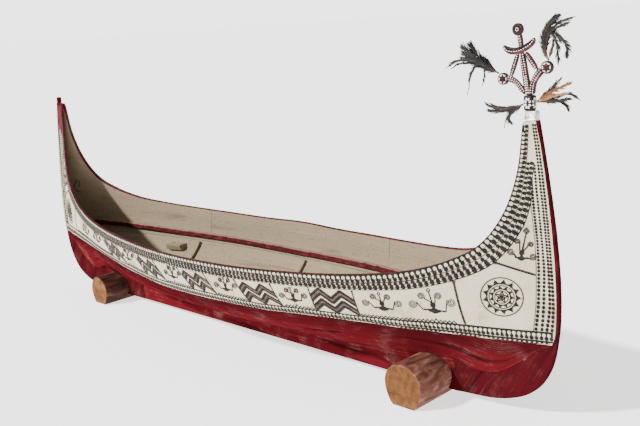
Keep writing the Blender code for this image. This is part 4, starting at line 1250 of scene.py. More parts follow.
# Each bunch: where it is tied, then its feathers. A feather is the length of its barbs, its tone at the
# root and at the tip (0 black, 0.5 brown, 0.8 tan, 1 pale), its tilt and the path of its quill, in mm.
feathers = {
    "barbGap": 0.0009, "barbWidth": 0.0017, "barbThick": 0.00025, "curl": 3.2, "quill": 0.0014,
    "fuller": 1.75, "missing": 0.05, "bare": 0.16, "mostX": 1.88, "mostZ": 1.538,
    "thread": 0.001, "threadLoop": 0.003, "threadTurns": 7, "threadGap": 0.0021,
    "feathers_aft_high": ((1547.5, 0, 1325.5), (
        (24, 0.1, 0.02, 0.2, (1505, -2, 1346), (1452, -6, 1378), (1392, -8, 1425)),
        (26, 0.12, 0.05, -0.4, (1508, 3, 1348), (1455, 8, 1385), (1412, 12, 1432)),
        (24, 0.08, 0.03, 0.6, (1500, 0, 1350), (1440, 4, 1372), (1380, 8, 1400)),
        (14, 0.1, 0.22, 0.1, (1500, -4, 1350), (1425, -12, 1378), (1360, -16, 1374), (1322, -18, 1352)),
        (10, 0.12, 0.22, 0.5, (1496, 2, 1348), (1420, 0, 1366), (1365, -4, 1362), (1335, -6, 1348)),
        (13, 0.08, 0.1, 0.9, (1500, -3, 1348), (1462, -10, 1362), (1438, -14, 1340), (1420, -16, 1300)),
        (6, 0.15, 0.6, 0.3, (1500, 3, 1346), (1448, 4, 1356), (1418, 0, 1316), (1412, -4, 1276),
         (1404, -6, 1248)),
        (9, 0.08, 0.06, 0.6, (1512, -4, 1344), (1495, -8, 1345), (1486, -10, 1315), (1480, -12, 1286)),
        (17, 0.22, 0.1, 0.3, (1520, -3, 1336), (1492, -6, 1352), (1470, -8, 1372)),
        (14, 0.2, 0.05, -0.6, (1525, 3, 1338), (1500, 6, 1358), (1476, 10, 1380)),
    )),
    "feathers_fore_high": ((1753.5, 0, 1370.5), (
        (17, 0.3, 0.08, 0.2, (1738, -2, 1410), (1738, -4, 1455), (1762, -6, 1500), (1800, -8, 1527)),
        (20, 0.15, 0.05, -0.3, (1735, 3, 1405), (1735, 6, 1450), (1752, 8, 1490), (1778, 10, 1518)),
        (11, 0.12, 0.38, 0.5, (1742, 0, 1410), (1750, 2, 1460), (1788, 4, 1498), (1850, 6, 1518)),
        (14, 0.1, 0.2, 0.7, (1744, -3, 1415), (1758, -6, 1465), (1790, -8, 1485), (1838, -10, 1500)),
        (17, 0.08, 0.05, 0.3, (1744, 2, 1420), (1768, 0, 1470), (1800, -4, 1450), (1826, -6, 1425),
         (1830, -6, 1385)),
        (13, 0.07, 0.06, 0.6, (1746, -2, 1420), (1764, -6, 1462), (1790, -10, 1440),
         (1797, -12, 1395), (1798, -12, 1362)),
        (13, 0.5, 0.2, 0.4, (1746, -3, 1385), (1742, -6, 1402), (1744, -8, 1420)),
        (12, 0.3, 0.25, -0.5, (1758, 3, 1390), (1764, 6, 1412), (1768, 10, 1440)),
    )),
    "feathers_aft_low": ((1656.1, 0, 1215), (
        (12, 0.35, 0.12, 0.3, (1615, -4, 1203), (1560, -8, 1196), (1515, -10, 1204), (1490, -10, 1216)),
        (9, 0.6, 0.5, -0.4, (1615, 2, 1204), (1560, 4, 1198), (1520, 6, 1204), (1494, 8, 1212)),
        (15, 0.07, 0.03, 0.6, (1618, -2, 1204), (1575, -4, 1190), (1535, -6, 1184), (1500, -8, 1188)),
        (18, 0.07, 0.03, 0.4, (1625, -3, 1200), (1600, -6, 1180), (1590, -8, 1162), (1597, -8, 1146)),
        (6, 0.06, 0.1, 0.2, (1622, 2, 1198), (1592, 0, 1176), (1572, -2, 1150), (1566, -4, 1124)),
    )),
    "feathers_fore_low": ((1696.2, 0, 1220), (
        (13, 0.62, 0.66, 0.2, (1730, -3, 1238), (1775, -6, 1262), (1815, -8, 1280), (1845, -10, 1292)),
        (14, 0.15, 0.05, -0.5, (1725, 3, 1240), (1755, 6, 1264), (1780, 8, 1290), (1794, 10, 1304)),
        (11, 0.72, 0.78, 0.4, (1735, -4, 1232), (1785, -8, 1248), (1835, -12, 1256)),
        (12, 0.3, 0.05, 0.1, (1740, 2, 1232), (1790, 0, 1246), (1840, -2, 1252), (1872, -4, 1236)),
        (13, 0.12, 0.06, 0.7, (1735, -3, 1224), (1775, -8, 1226), (1815, -12, 1232), (1850, -14, 1236)),
        (14, 0.08, 0.12, 0.5, (1730, 4, 1226), (1775, 6, 1228), (1812, 8, 1216), (1826, 8, 1196)),
        (13, 0.5, 0.4, 0.3, (1725, -2, 1226), (1750, -4, 1236), (1775, -6, 1246)),
    )),
}


def makeFeatherFinish(name, roughness):
    # Cock's feathers: the tone runs from black through brown and tan to pale along each one, with
    # fine lengthwise streaks. Dry keratin gives a soft gloss.
    made, tree, shader = startMaterial(name, {"Roughness": roughness, "Specular IOR Level": 0.25})
    tone = addNode(tree, "ShaderNodeAttribute", attribute_name="tone").outputs["Fac"]
    streak = noise(tree, objectPoint(tree), 420.0, 3.0)
    mixed = calculate(tree, "MULTIPLY_ADD", streak, 0.24, tone)
    base = ramp(tree, mixed, (0.1, 0.3, 0.46, 0.64, 0.84, 0.98),
                ("#080707", "#141011", "#2c2019", "#4c321b", "#744722", "#a58257"))
    coat(tree, shader, base, streak, 0.3, 0.0005)
    return made


barbFinish = makeFeatherFinish("cockFeatherBarb", 0.52)
quillFinish = makeFeatherFinish("featherQuill", 0.42)
threadFinish = makePlainPaint("twistedFibreThread", ("#4a3a2a", "#8a6f4e", "#b89c74"), 0.8)


def tube(name, path, radii, sides, finish):
    # A closed tube along a path.
    points = []
    across = Vector((0, 1, 0))
    for index, at in enumerate(path):
        ahead = path[min(index + 1, len(path) - 1)] - path[max(index - 1, 0)]
        side = ahead.cross(across).normalized()
        up = side.cross(ahead).normalized()
        for i in range(sides):
            turn = 2 * math.pi * i / sides
            points.append(place(at + (side * math.cos(turn) + up * math.sin(turn)) * radii[index]))
    return addSolid(name, points, sides, [finish])


def plumePoints(path, reach, rootTone, tipTone, tilt, chance):
    # Barbs on both sides of a quill. They lie in clumps, so the vane's edge is ragged.
    s = feathers
    spots = [spot for spot in alongPath(path, s["barbGap"]) if spot[2] >= s["bare"]]
    found = []
    for turn in (-1, 1):
        lean, size, left = 0.0, 1.0, 0
        for at, way, share in spots:
            if left <= 0:
                lean, size = chance.uniform(-0.16, 0.16), chance.uniform(0.72, 1.08)
                left = chance.randint(4, 12)
            left -= 1
            if chance.random() < s["missing"]:
                continue
            facing = (Vector((0.35 * tilt, -1, 0.2 * tilt)) - way * 0.1).normalized()
            side = facing.cross(way).normalized()
            facing = way.cross(side).normalized()
            shape = min(1, (share - 0.08) / 0.22) ** 0.6 * min(1, (1.03 - share) / 0.16) ** 0.6
            angle = math.radians(46 - 22 * share) + lean + chance.uniform(-0.06, 0.06)
            length = reach * s["fuller"] * max(0.25, shape) * size * chance.uniform(0.9, 1.05)
            out = way * math.cos(angle) + side * turn * math.sin(angle) + facing * chance.uniform(-0.12, 0.12)
            out.normalize()
            end = at + out * length
            over = max(0, end.x - s["mostX"], end.z - s["mostZ"])
            length = max(0.001, length - 1.5 * over)
            tone = rootTone + (tipTone - rootTone) * share + chance.uniform(-0.06, 0.1)
            found.append((at, out, facing * -turn, length, min(1, max(0, tone))))
    return found


def featherPiece(node):
    # One mesh of single feathers: quills, the threads that tie them, and the barbs.
    s, chance = feathers, random.Random(node)
    root, plumes = s[node]
    parts, barbs, ways = [], [], []
    for reach, rootTone, tipTone, tilt, *rest in plumes:
        path = [Vector([c / 1000 for c in p]) for p in (root, *rest)]
        line = [at for at, _, _ in alongPath(path, 0.006)]
        radii = [s["quill"] * (1 - 0.8 * i / (len(line) - 1)) for i in range(len(line))]
        quill = tube("quill", line, radii, 6, quillFinish)
        tone = quill.data.attributes.new("tone", "FLOAT", "POINT")
        tone.data.foreach_set("value", [min(1, 0.42 + rootTone * 0.45)] * len(quill.data.vertices))
        parts.append(quill)
        barbs += plumePoints(path, reach / 1000, rootTone, tipTone, tilt, chance)
        ways.append((path[1] - path[0]).normalized())
    start, way, across = Vector([c / 1000 for c in root]), ways[0], Vector((0, 1, 0))
    side = way.cross(across).normalized()
    for i in range(s["threadTurns"]):
        centre = start + way * (0.004 + s["threadGap"] * i)
        loop = [centre + (side * math.cos(t) + across * math.sin(t)) * s["threadLoop"] + way * 0.0004 * t
                for t in np.linspace(0, 2 * math.pi, 13)]
        parts.append(tube("thread", loop, [s["thread"]] * 13, 5, threadFinish))
    where, along, facing, lengths, tones = zip(*barbs)
    vane = grow("barbs", [place(at) for at in where], (
        ("along", "FLOAT_VECTOR", along), ("facing", "FLOAT_VECTOR", facing), ("reach", "FLOAT", lengths),
        ("tone", "FLOAT", tones)), barbTree, barbKeys,
        {"Width": s["barbWidth"], "Thickness": s["barbThick"], "Curl": s["curl"], "Finish": barbFinish})
    return fitPiece(joinPieces(node + "_plumes", [vane, *parts]), "feather", node)


for node in ("feathers_aft_high", "feathers_fore_high", "feathers_aft_low", "feathers_fore_low"):
    featherPiece(node)
print("feathers are built")

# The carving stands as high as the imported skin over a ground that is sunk. It is laid out in side
# view, x and height from the keel, and cast across the boat onto the skin of both sides. Its lines
# have a finish by number: 0 soot, 1 brown, 3 dark brown, 4 the red of the stern's tip.
carving = {
    "deep": 0.0022, "line": 0.0046, "thin": 0.0018,
    # spacing along the gunwale by station
    "pitch": ((0, 0.0232), (6, 0.023), (7.2, 0.0215), (8.5, 0.0195), (9, 0.0172), (10, 0.0162)),
    # depth of the upper border below the gunwale at a station
    "border": ((0, 0.058), (2, 0.06), (3, 0.063), (3.8, 0.069), (6, 0.081), (7, 0.088), (8, 0.085),
               (8.6, 0.073), (9, 0.059), (10, 0.053)),
    "fourRowsTo": 9.25,
    # rows of the upper border: sides, finish, in step with the domes, slant, length and width as shares
    # of the spacing, then from and to as shares of the depth amidships and at the bow
    "rows": ((8, "cream", 0, 0.0, 0.72, (0.07, 0.34), (0.03, 0.27)),
             (8, "soot", 1, 0.16, 0.9, (0.27, 0.51), (0.2, 0.47)),
             (8, "soot", 1, 0.0, 0.82, (0.56, 0.72), (0.48, 0.7)),
             (8, "soot", 1, 0.2, 0.9, (0.7, 0.92), (0.67, 0.92)),
             (8, "cream", 0, 0.2, 0.56, (0.905, 0.965), (0.89, 0.955))),
    # bands and lines of the upper border: from, to, finish, lift, last station
    "bands": ((0.0, 0.32, 0, -0.0005, 10), (0.5, 0.565, 3, 0.0, 10), (0.86, 1.0, 0, -0.0005, 9.3),
              (0.28, 0.315, 0, 0.0, 9.9), (0.69, 0.72, 3, 0.0, 9.2)),
    "bandsBow": ((0.0, 0.24), (0.455, 0.485), (0.86, 1.0), (0.225, 0.255), (0.665, 0.69)),
    # the lower border: spacing, depth by distance from the middle, and rows from its top
    "lowPitch": 0.0181,
    "lowDepth": ((0, 0.035), (0.3, 0.031), (1.0, 0.031), (1.2, 0.044), (1.4, 0.051), (1.8, 0.052)),
    "lowRows": ((8, "cream", 0, 0.8, (0.11, 0.41)), (8, "soot", 1, 0.92, (0.36, 0.68)),
                (8, "cream", 0, 0.58, (0.85, 0.94))),
    "lowBands": ((0.0, 0.38, 0, -0.0005), (0.7, 0.81, 0, 0.0), (0.81, 1.0, 0, -0.0005)),
    "columnPitch": ((0.34, 0.018), (0.43, 0.0174), (0.5, 0.016), (0.56, 0.0148), (0.6, 0.014),
                    (0.64, 0.0126), (0.72, 0.0112), (0.8, 0.0116), (0.9, 0.0124), (1.15, 0.0124)),
    "columnDot": ((0.34, 0.0138), (0.55, 0.013), (0.65, 0.011), (0.9, 0.0108), (1.1, 0.0092)),
    # how far each column stands from the plank's end, by height
    "columns": (((0.36, 0.069), (0.45, 0.06), (0.6, 0.053), (0.7, 0.051), (0.82, 0.054), (0.9, 0.0525),
                 (1.15, 0.035)),
                ((0.36, 0.048), (0.45, 0.042), (0.6, 0.034), (0.9, 0.0365), (1.15, 0.025)),
                ((0.36, 0.03), (0.45, 0.0195), (0.6, 0.017), (0.9, 0.0185), (1.15, 0.015)),
                ((0.36, 0.0113), (0.45, 0.0062), (0.9, 0.006), (1.15, 0.0055))),
    "columnTop": (0.93, 1.0, 1.145, 1.145), "columnFoot": (1.75, 0.01), "columnSide": 0.0088,
    "waveHeight": 0.0085, "waveLift": 0.003, "waveTall": 1.7, "waveWidth": 0.0038,
    "dividers": (((1.412, 0.532), (1.447, 0.352)), ((1.566, 0.616), (1.708, 0.573))), "dividerLow": 0.389,
    "dividerWidth": 0.009, "barPitch": 0.011, "bar": (0.0145, 0.0062), "barLean": 34,
    # corners of the zigzag panels: aft top, aft low, fore top, fore low
    "panels": (((0.769, 0.458), (0.792, 0.335), (0.982, 0.452), (0.999, 0.334)),
               ((0.353, 0.431), (0.43, 0.33), (0.567, 0.436), (0.623, 0.332)),
               ((-0.044, 0.435), (0.062, 0.339), (0.154, 0.431), (0.228, 0.338)),
               ((-0.478, 0.44), (-0.348, 0.341), (-0.265, 0.43), (-0.153, 0.339)),
               ((-0.905, 0.462), (-0.776, 0.361), (-0.69, 0.448), (-0.572, 0.356))),
    # a zigzag's turns as shares of the panel, and the lines: place, share of the spacing, finish, lift
    "zigzag": ((0.0, 0.41), (0.25, 0.095), (0.487, 0.405), (0.727, 0.08), (1.0, 0.4)), "zigzagStep": 0.197,
    "zigzagLines": ((0.5, 0.75, 1, -0.0004), (2.5, 0.75, 1, -0.0004), (0, 0.56, 0, 0), (1, 0.56, 0, 0),
                    (2, 0.56, 0, 0), (3, 0.56, 0, 0)),
    "panelSide": 0.0052,
    "rosette": ((1.591, 0.48), 0.078),
    # the share of the plank, from the gunwale aft, that is painted red at the stern, by height
    "sternRed": ((0.56, 0.02), (0.7, 0.05), (0.8, 0.1), (0.9, 0.22), (0.97, 0.45), (1.03, 0.97),
                 (1.15, 0.97)),
    "sternRedFrom": 0.56, "sternRedWhole": 1.01, "sternRedLift": 0.0006,
}
darkFinish = makePlainPaint("thinDarkBrownLine", ("#120d0b", "#271c18", "#40322b"), 0.7)


def makeBandTree():
    stations, heights = steps(-11, 11, 0.1), steps(1.7, 3.0, 0.02)
    points = [skin(s, h) for s in stations for h in heights]
    count = len(heights)
    faces = [(i * count + j, (i + 1) * count + j, (i + 1) * count + j + 1, i * count + j + 1)
             for i in range(len(stations) - 1) for j in range(count - 1)]
    return BVHTree.FromPolygons(points, faces)


bandTree = makeBandTree()


def onBand(x, z):
    # Where a side view point lies on the skin, and which way the skin faces there.
    at, normal, _, _ = bandTree.ray_cast(Vector((x, 1, z)), Vector((0, -1, 0)))
    if at is None:
        return None, None
    return at, normal if normal.y > 0 else -normal


def bandShape(x, z, way, length, width):
    # One small shape for growShapes, pointing the given way in side view.
    at, normal = onBand(x, z)
    ahead, _ = onBand(x + way[0] * 0.002, z + way[1] * 0.002)
    if at is None:
        return None
    along = (ahead - at) if ahead is not None else Vector((way[0], 0, way[1]))
    return at, normal, along, length, width


def addFaces(made, points, faces, finish):
    start = len(made["points"])
    made["points"] += points
    made["faces"] += [tuple(start + k for k in face) for face in faces]
    made["finishes"] += [finish] * len(faces)


def onEdge(at, side):
    # The skin beside a point, nearer to it where the skin ends.
    for part in (1, 0.9, 0.75, 0.5, 0.25, 0.05):
        found = onBand(at[0] + side.x * part, at[1] + side.y * part)
        if found[0] is not None:
            return found
    return None


def addRibbon(made, path, width, finish, closed=False, lift=0.0):
    # A raised line through side view points, its corners mitred. It breaks where there is no skin.
    count, ring, whole = len(path), [], closed
    widths = width if isinstance(width, list) else [width] * count
    for i in range(count):
        before = path[i - 1] if i or closed else path[i]
        after = path[(i + 1) % count] if i < count - 1 or closed else path[i]
        one, two = Vector(path[i]) - Vector(before), Vector(after) - Vector(path[i])
        one, two = (one or two).normalized(), (two or one).normalized()
        way = (one + two).normalized()
        spread = min(1.9, 1 / max(0.2, one.dot(way)))
        side = Vector((-way.y, way.x)) * widths[i] / 2 * spread
        edges = [onEdge(path[i], side), onEdge(path[i], -side)]
        if None in edges:
            if len(ring) > 4:
                addFaces(made, ring, ringFaces(len(ring) // 4, 4), finish)
            ring, whole = [], False
            continue
        (left, leftOut), (right, rightOut) = edges
        deep = carving["deep"]
        ring += [left + leftOut * lift, right + rightOut * lift,
                 right - rightOut * deep, left - leftOut * deep]
    if len(ring) > 4:
        addFaces(made, ring, ringFaces(len(ring) // 4, 4, loop=whole), finish)


def addPatch(made, outline, finish):
    # A raised flat shape with a side view outline.
    found = [onBand(x, z) for x, z in outline]
    if any(at is None for at, _ in found):
        return
    points = [at + normal * rise for rise in (-carving["deep"], 0) for at, normal in found]
    addFaces(made, points, ringFaces(2, len(outline)), finish)


def spiral(centre, radius, start, turns, direction):
    # A curl that closes in on its centre.
    count, whole = int(14 * turns), direction * 2 * math.pi * turns
    return [polar(centre, radius * (1 - 0.85 * i / count), start + whole * i / count)
            for i in range(count + 1)]


figure = {
    "base": ((-0.032, 0.003), (-0.012, -0.007), (0.0, -0.011), (0.012, -0.007), (0.032, 0.002),
             (0.012, 0.006), (0.0, 0.011), (-0.012, 0.006)),
    "post": 0.008, "stalk": 0.0036, "ring": 0.0062, "lozenges": (0.0108, 0.0048), "lozengeLine": 0.0034,
    "arm": 0.0042, "curl": 0.0028, "curlTurns": 2.4, "innerCurl": 0.0155, "outerCurl": 0.0185,
}


def addFigure(made, base, top, size=1.0, inner=None, outer=None, upper=False):
    # The carved figure: a boat shaped base, a round body, a stalk with a ring, and four curling arms.
    # The uppermost one has a shorter base and a lozenge on its stalk.
    s, (bx, bz) = figure, base
    body = (bx + 0.001, bz + 0.021) if upper else (bx - 0.004 * size, bz + 0.024 * size)
    wide, tall = (0.85 * size, 1.3 * size) if upper else (1.15 * size, 1.2 * size)
    inner = inner or ((bx - 0.042 * size, bz + 0.051 * size), (bx + 0.024 * size, bz + 0.056 * size))
    outer = outer or ((bx - 0.078 * size, bz + 0.019 * size), (bx + 0.07 * size, bz + 0.034 * size))
    addPatch(made, [(bx + x * wide, bz + z * tall) for x, z in s["base"]], 0)
    addPatch(made, circle(body, 0.0095 if upper else 0.0118 * size, 12), 0)
    addRibbon(made, [base, body], s["post"] * size, 0)
    addRibbon(made, [body, (top[0], top[1] - 0.004)], s["stalk"], 0)
    if upper:
        for reach in s["lozenges"]:
            corners = [(top[0] + reach * x, top[1] + 1.15 * reach * z)
                       for x, z in ((1, 0), (0, 1), (-1, 0), (0, -1))]
            addRibbon(made, corners, s["lozengeLine"], 0, closed=True)
    else:
        addRibbon(made, circle(top, s["ring"] * size, 12), s["stalk"], 0, closed=True)
    for sign, (x, z) in zip((-1, 1), inner):
        path = [(body[0] + 0.003 * sign, body[1] + 0.005),
                (body[0] + 0.01 * sign * size, body[1] + 0.014 * size)]
        begin = -0.6 if sign < 0 else math.pi + 0.6
        addArm(made, path, spiral((x, z), s["innerCurl"] * size, begin, s["curlTurns"], -sign))
    for sign, (x, z) in zip((-1, 1), outer):
        path = [(bx + reach * sign * wide, bz + 0.001) for reach in ((0.028,) if upper else (0.028, 0.04))]
        begin = (0.5 if sign < 0 else math.pi - 0.5) * (-1 if upper else 1)
        addArm(made, path, spiral((x, z), s["outerCurl"] * size, begin, s["curlTurns"], sign))


def addArm(made, path, curve):
    addRibbon(made, path + curve[:1], figure["arm"], 0)
    addRibbon(made, curve, figure["curl"], 3)


def addScallops(made, centre, inner, outer, tip, count):
    # A ring whose outer edge is scalloped: round hollows between sharp points.
    bars = []
    for i in range(10 * count):
        reach = outer + (tip - outer) * abs(2 * (i % 10) / 10 - 1) ** 2.0
        turn = 2 * math.pi * i / (10 * count)
        (low, lowOut), (high, highOut) = [onBand(*polar(centre, r, turn)) for r in (inner, reach)]
        bars += [low, high, high - highOut * carving["deep"], low - lowOut * carving["deep"]]
    addFaces(made, bars, ringFaces(10 * count, 4, loop=True), 0)


def addRosette(made, centre, radius):
    # Two scalloped rings round a five pointed star.
    addRibbon(made, circle(centre, radius * 0.985, 48), 0.0042, 3, closed=True)
    for inner, outer, tip, count in ((0.66, 0.715, 0.92, 13), (0.39, 0.44, 0.6, 11)):
        addScallops(made, centre, radius * inner, radius * outer, radius * tip, count)
        addRibbon(made, circle(centre, radius * (inner - 0.075), 48), radius * 0.04, 3, closed=True)
    addRibbon(made, circle(centre, radius * 0.135, 20), radius * 0.035, 3, closed=True)
    star = [polar(centre, radius * (0.14 if i % 2 else 0.3), math.pi * i / 5 + 0.2) for i in range(10)]
    addRibbon(made, star, radius * 0.06, 0, closed=True)
    for reach, finish in ((0.1, 3), (0.075, 0)):
        addPatch(made, circle(centre, radius * reach, 10), finish)


def gunwaleRun():
    # Even steps along the gunwale in side view: place, the way away from the opening, and station.
    stations = np.array(steps(-9.95, 9.95, 0.05))
    line = np.array([(lineAt("gunwale", round(float(s), 4)).x, lineAt("gunwale", round(float(s), 4)).z)
                     for s in stations])
    lengths = runningSum(np.hypot(*np.diff(line, axis=0).T))
    ways = np.gradient(line, axis=0)
    ways /= np.hypot(*ways.T)[:, None]
    pitches = np.interp(np.abs(stations), *zip(*carving["pitch"]))
    turns = runningSum(2 * np.diff(lengths) / (pitches[1:] + pitches[:-1]))
    count = int(turns[-1])
    found = []
    for at in np.linspace(0, turns[-1], 2 * count + 1):
        pick = [float(np.interp(at, turns, values)) for values in
                (line[:, 0], line[:, 1], ways[:, 0], ways[:, 1], stations, pitches)]
        found.append((Vector(pick[:2]), Vector((pick[3], -pick[2])).normalized(), abs(pick[4]), pick[5]))
    return found


plankEdge = [(p.z, p.x) for p in (skin(hull["lastStation"], h) for h in steps(1.8, 3, 0.02))]


def plankEnd(z):
    # The fore edge of the plank at a height.
    return byTable(plankEdge, z)


def blend(middle, bow, station):
    # A pair of shares between its values amidships and at the ends.
    share = min(1, max(0, (station - 4.5) / 2))
    return [a + (b - a) * share for a, b in zip(middle, bow)]


def sternRed(made, run):
    # At the stern a strip of red runs up beside the gunwale and widens until it covers the tip.
    s, path, widths = carving, [], []
    for at, away, _, _ in run:
        if at.x < 0 and at.y > s["sternRedFrom"]:
            width = byTable(s["sternRed"], at.y) * (plankEnd(at.y) + at.x)
            path.append(tuple(at + away * width / 2))
            widths.append(width)
    addRibbon(made, path, widths, 4, lift=s["sternRedLift"])


def upperBorder(made, shapes):
    s, run = carving, gunwaleRun()
    sternRed(made, run)
    for sides, finish, odd, slant, wide, middle, bow in s["rows"]:
        for i, (at, away, station, pitch) in enumerate(run):
            first, last = blend(middle, bow, station)
            covered = at.x < 0 and at.y > s["sternRedWhole"]
            if i % 2 != odd or (first > 0.44 and station > s["fourRowsTo"]) or covered:
                continue
            depth = byTable(s["border"], station)
            x, z = at + away * depth * (first + last) / 2 + Vector((-away.y, away.x)) * slant * pitch
            shapes[finish, sides].append(bandShape(x, z, away, depth * (last - first), pitch * wide))
    for (first, last, finish, lift, most), bow in zip(s["bands"], s["bandsBow"]):
        path, widths = [], []
        for at, away, station, _ in run:
            low, high = blend((first, last), bow, station)
            depth = byTable(s["border"], station)
            if station <= most:
                path.append(tuple(at + away * depth * (low + high) / 2))
                widths.append(depth * (high - low))
        addRibbon(made, path, widths, finish, lift=lift)
    addRibbon(made, [tuple(at + away * s["line"] / 2) for at, away, _, _ in run], s["line"], 0)


def bandFoot(x, share=0.0):
    # Height of the lower border's top, or of a share of its depth below that.
    return paintHeight(x) + byTable(carving["lowDepth"], abs(x)) * (1 - share)


def lowerBorder(made, shapes, ends):
    s = carving
    for sides, finish, odd, wide, (first, last) in s["lowRows"]:
        for i in range(-98, 99):
            x = s["lowPitch"] * (i + 0.5 * odd)
            if abs(x) < ends - 0.006:
                deep = byTable(s["lowDepth"], abs(x)) * (last - first)
                shapes[finish, sides].append(bandShape(x, bandFoot(x, (first + last) / 2), (0, -1), deep,
                                                       s["lowPitch"] * wide))
    for first, last, finish, lift in s["lowBands"]:
        spots = np.linspace(-ends, ends, 300)
        addRibbon(made, [(x, bandFoot(x, (first + last) / 2)) for x in spots],
                  [byTable(s["lowDepth"], abs(x)) * (last - first) for x in spots], finish, lift=lift)
    addRibbon(made, [(x, bandFoot(x)) for x in np.linspace(-ends, ends, 300)], s["thin"] * 1.6, 0)


def columnsAndDividers(made, shapes, end):
    s = carving
    foot = bandFoot(end * s["columnFoot"][0])
    for column, top in zip(s["columns"], s["columnTop"]):
        z = foot + s["columnFoot"][1]
        while z < min(top, 2.0 if end > 0 else s["sternRedWhole"]):
            pitch, x = byTable(s["columnPitch"], z), plankEnd(z) - byTable(column, z)
            shapes["soot", 8].append(bandShape(end * x, z, (0, 1), pitch * 0.9, byTable(s["columnDot"], z)))
            z += pitch
    side = [(end * (plankEnd(z) - byTable(s["columns"][0], z) - s["columnSide"]), float(z))
            for z in np.linspace(foot, s["columnTop"][0], 50)]
    addRibbon(made, side, s["thin"], 3)
    for one, two in s["dividers"]:
        low = two[1] if end > 0 or two[1] > 0.5 else s["dividerLow"]
        start, stop = Vector((end * one[0], one[1])), Vector((end * two[0], low))
        line, way = [tuple(start.lerp(stop, i / 12)) for i in range(13)], (stop - start).normalized()
        addRibbon(made, line, s["dividerWidth"], 1, lift=-0.0002)
        turned = Matrix.Rotation(math.radians(s["barLean"] * end), 2) @ way
        for i in range(int((stop - start).length / s["barPitch"])):
            x, z = start + way * (0.004 + s["barPitch"] * i)
            shapes["soot", 6].append(bandShape(x, z, tuple(turned), *s["bar"]))


def zigzagPanel(made, corners):
    # Two brown zigzags, each between black ones, in a leaning panel with a line at each side. A
    # stretch is as wide as its share of the way to the next line.
    s = carving
    aftTop, aftLow, foreTop, foreLow = [Vector(c) for c in corners]
    step = (aftLow - aftTop) * s["zigzagStep"]
    for line, share, finish, lift in s["zigzagLines"]:
        turns = []
        for u, v in s["zigzag"]:
            down = min(0.985, v + s["zigzagStep"] * line)
            turns.append(aftTop.lerp(aftLow, down).lerp(foreTop.lerp(foreLow, down), u))
        path, widths = [], []
        for one, two in zip(turns, turns[1:]):
            way = (two - one).normalized()
            path += [tuple(one.lerp(two, i / 6)) for i in (0.4, 1, 2, 3, 4, 5, 5.6)]
            widths += [share * abs(way.x * step.y - way.y * step.x)] * 7
        addRibbon(made, [tuple(turns[0])] + path + [tuple(turns[-1])], [widths[0]] + widths + [widths[-1]],
                  finish, lift=lift)
    for top, low in ((aftTop, aftLow), (foreTop, foreLow)):
        addRibbon(made, [tuple(top.lerp(low, i / 8)) for i in range(9)], s["panelSide"], 3)


def waveLine(made):
    # Small peaks over the lower border, with a taller one under each figure.
    s, path = carving, []
    step = s["lowPitch"] / 2
    for i in range(-156, 157):
        x = step * i
        if any(c[1][0] - 0.004 < x < c[3][0] + 0.004 for c in s["panels"]):
            addRibbon(made, path, s["waveWidth"], 0)
            path = []
            continue
        tall = s["waveTall"] if any(abs(x - f[0][0] - 0.004) < step / 2 for f in figures) else 1
        path.append((x, bandFoot(x) + s["waveLift"] + (i % 2) * s["waveHeight"] * tall))
    addRibbon(made, path, s["waveWidth"], 0)


# The figures between the borders: base, ring on the stalk, size, and the curls of the nearer two.
figures = (
    ((1.33, 0.399), (1.311, 0.485), 1.0, ((1.279, 0.457), (1.349, 0.463)), ((1.242, 0.42), (1.401, 0.441))),
    ((1.114, 0.385), (1.101, 0.45), 0.9, ((1.073, 0.434), (1.137, 0.438)), ((1.036, 0.404), (1.182, 0.415))),
    ((0.69, 0.374), (0.676, 0.428), 0.82), ((0.3, 0.372), (0.288, 0.424), 0.82),
    ((-0.085, 0.376), (-0.1, 0.424), 0.82), ((-0.54, 0.39), (-0.556, 0.436), 0.82),
    ((-0.986, 0.408), (-1.0, 0.462), 0.82), ((-1.2, 0.414), (-1.216, 0.474), 0.82),
)


# The same of the figure beside each stem, over the rosette.
upperFigure = ((1.659, 0.636), (1.674, 0.741), 0.72, ((1.643, 0.7), (1.69, 0.69)),
               ((1.622, 0.66), (1.698, 0.643)))


def bandLayout():
    # Everything that is carved on one side, as small shapes and as raised lines and patches.
    made = {"points": [], "faces": [], "finishes": []}
    shapes = {(finish, sides): [] for finish, sides in (("soot", 6), ("soot", 8), ("cream", 8))}
    upperBorder(made, shapes)
    lowerBorder(made, shapes, plankEnd(0.32) - 0.004)
    for end in (-1, 1):
        columnsAndDividers(made, shapes, end)
        (x, z), radius = carving["rosette"]
        addRosette(made, (end * x, z), radius)
        base, top, size, *curls = upperFigure
        inner, outer = [[(end * x, z) for x, z in pair][::end] for pair in curls]
        addFigure(made, (end * base[0], base[1]), (end * top[0], top[1]), size, inner, outer, upper=True)
    for corners in carving["panels"]:
        zigzagPanel(made, corners)
    waveLine(made)
    for told in figures:
        addFigure(made, *told)
    return made, shapes


def mirrored(shapes, side):
    # The shapes as they lie on one side of the boat, without those that missed its skin.
    flip = Vector((1, side, 1))
    return [(place(at, side), normal * flip, along * flip, length, width)
            for at, normal, along, length, width in filter(None, shapes)]


made, shapes = bandLayout()
for side, sideName in bothSides:
    lines = addMesh("lines", [place(p, side) for p in made["points"]], made["faces"],
                    [sootFinish, brownFinish, limeFinish, darkFinish, tipFinish], made["finishes"],
                    flat=True)
    turnOutward(lines)
    parts = [lines]
    for (finish, sides), found in shapes.items():
        parts.append(growShapes(finish + str(sides), mirrored(found, side),
                                creamFinish if finish == "cream" else sootFinish, sides, carving["deep"],
                                0.08, sides + side))
    fitPiece(joinPieces("band_carving_" + sideName, parts), "band_paint")

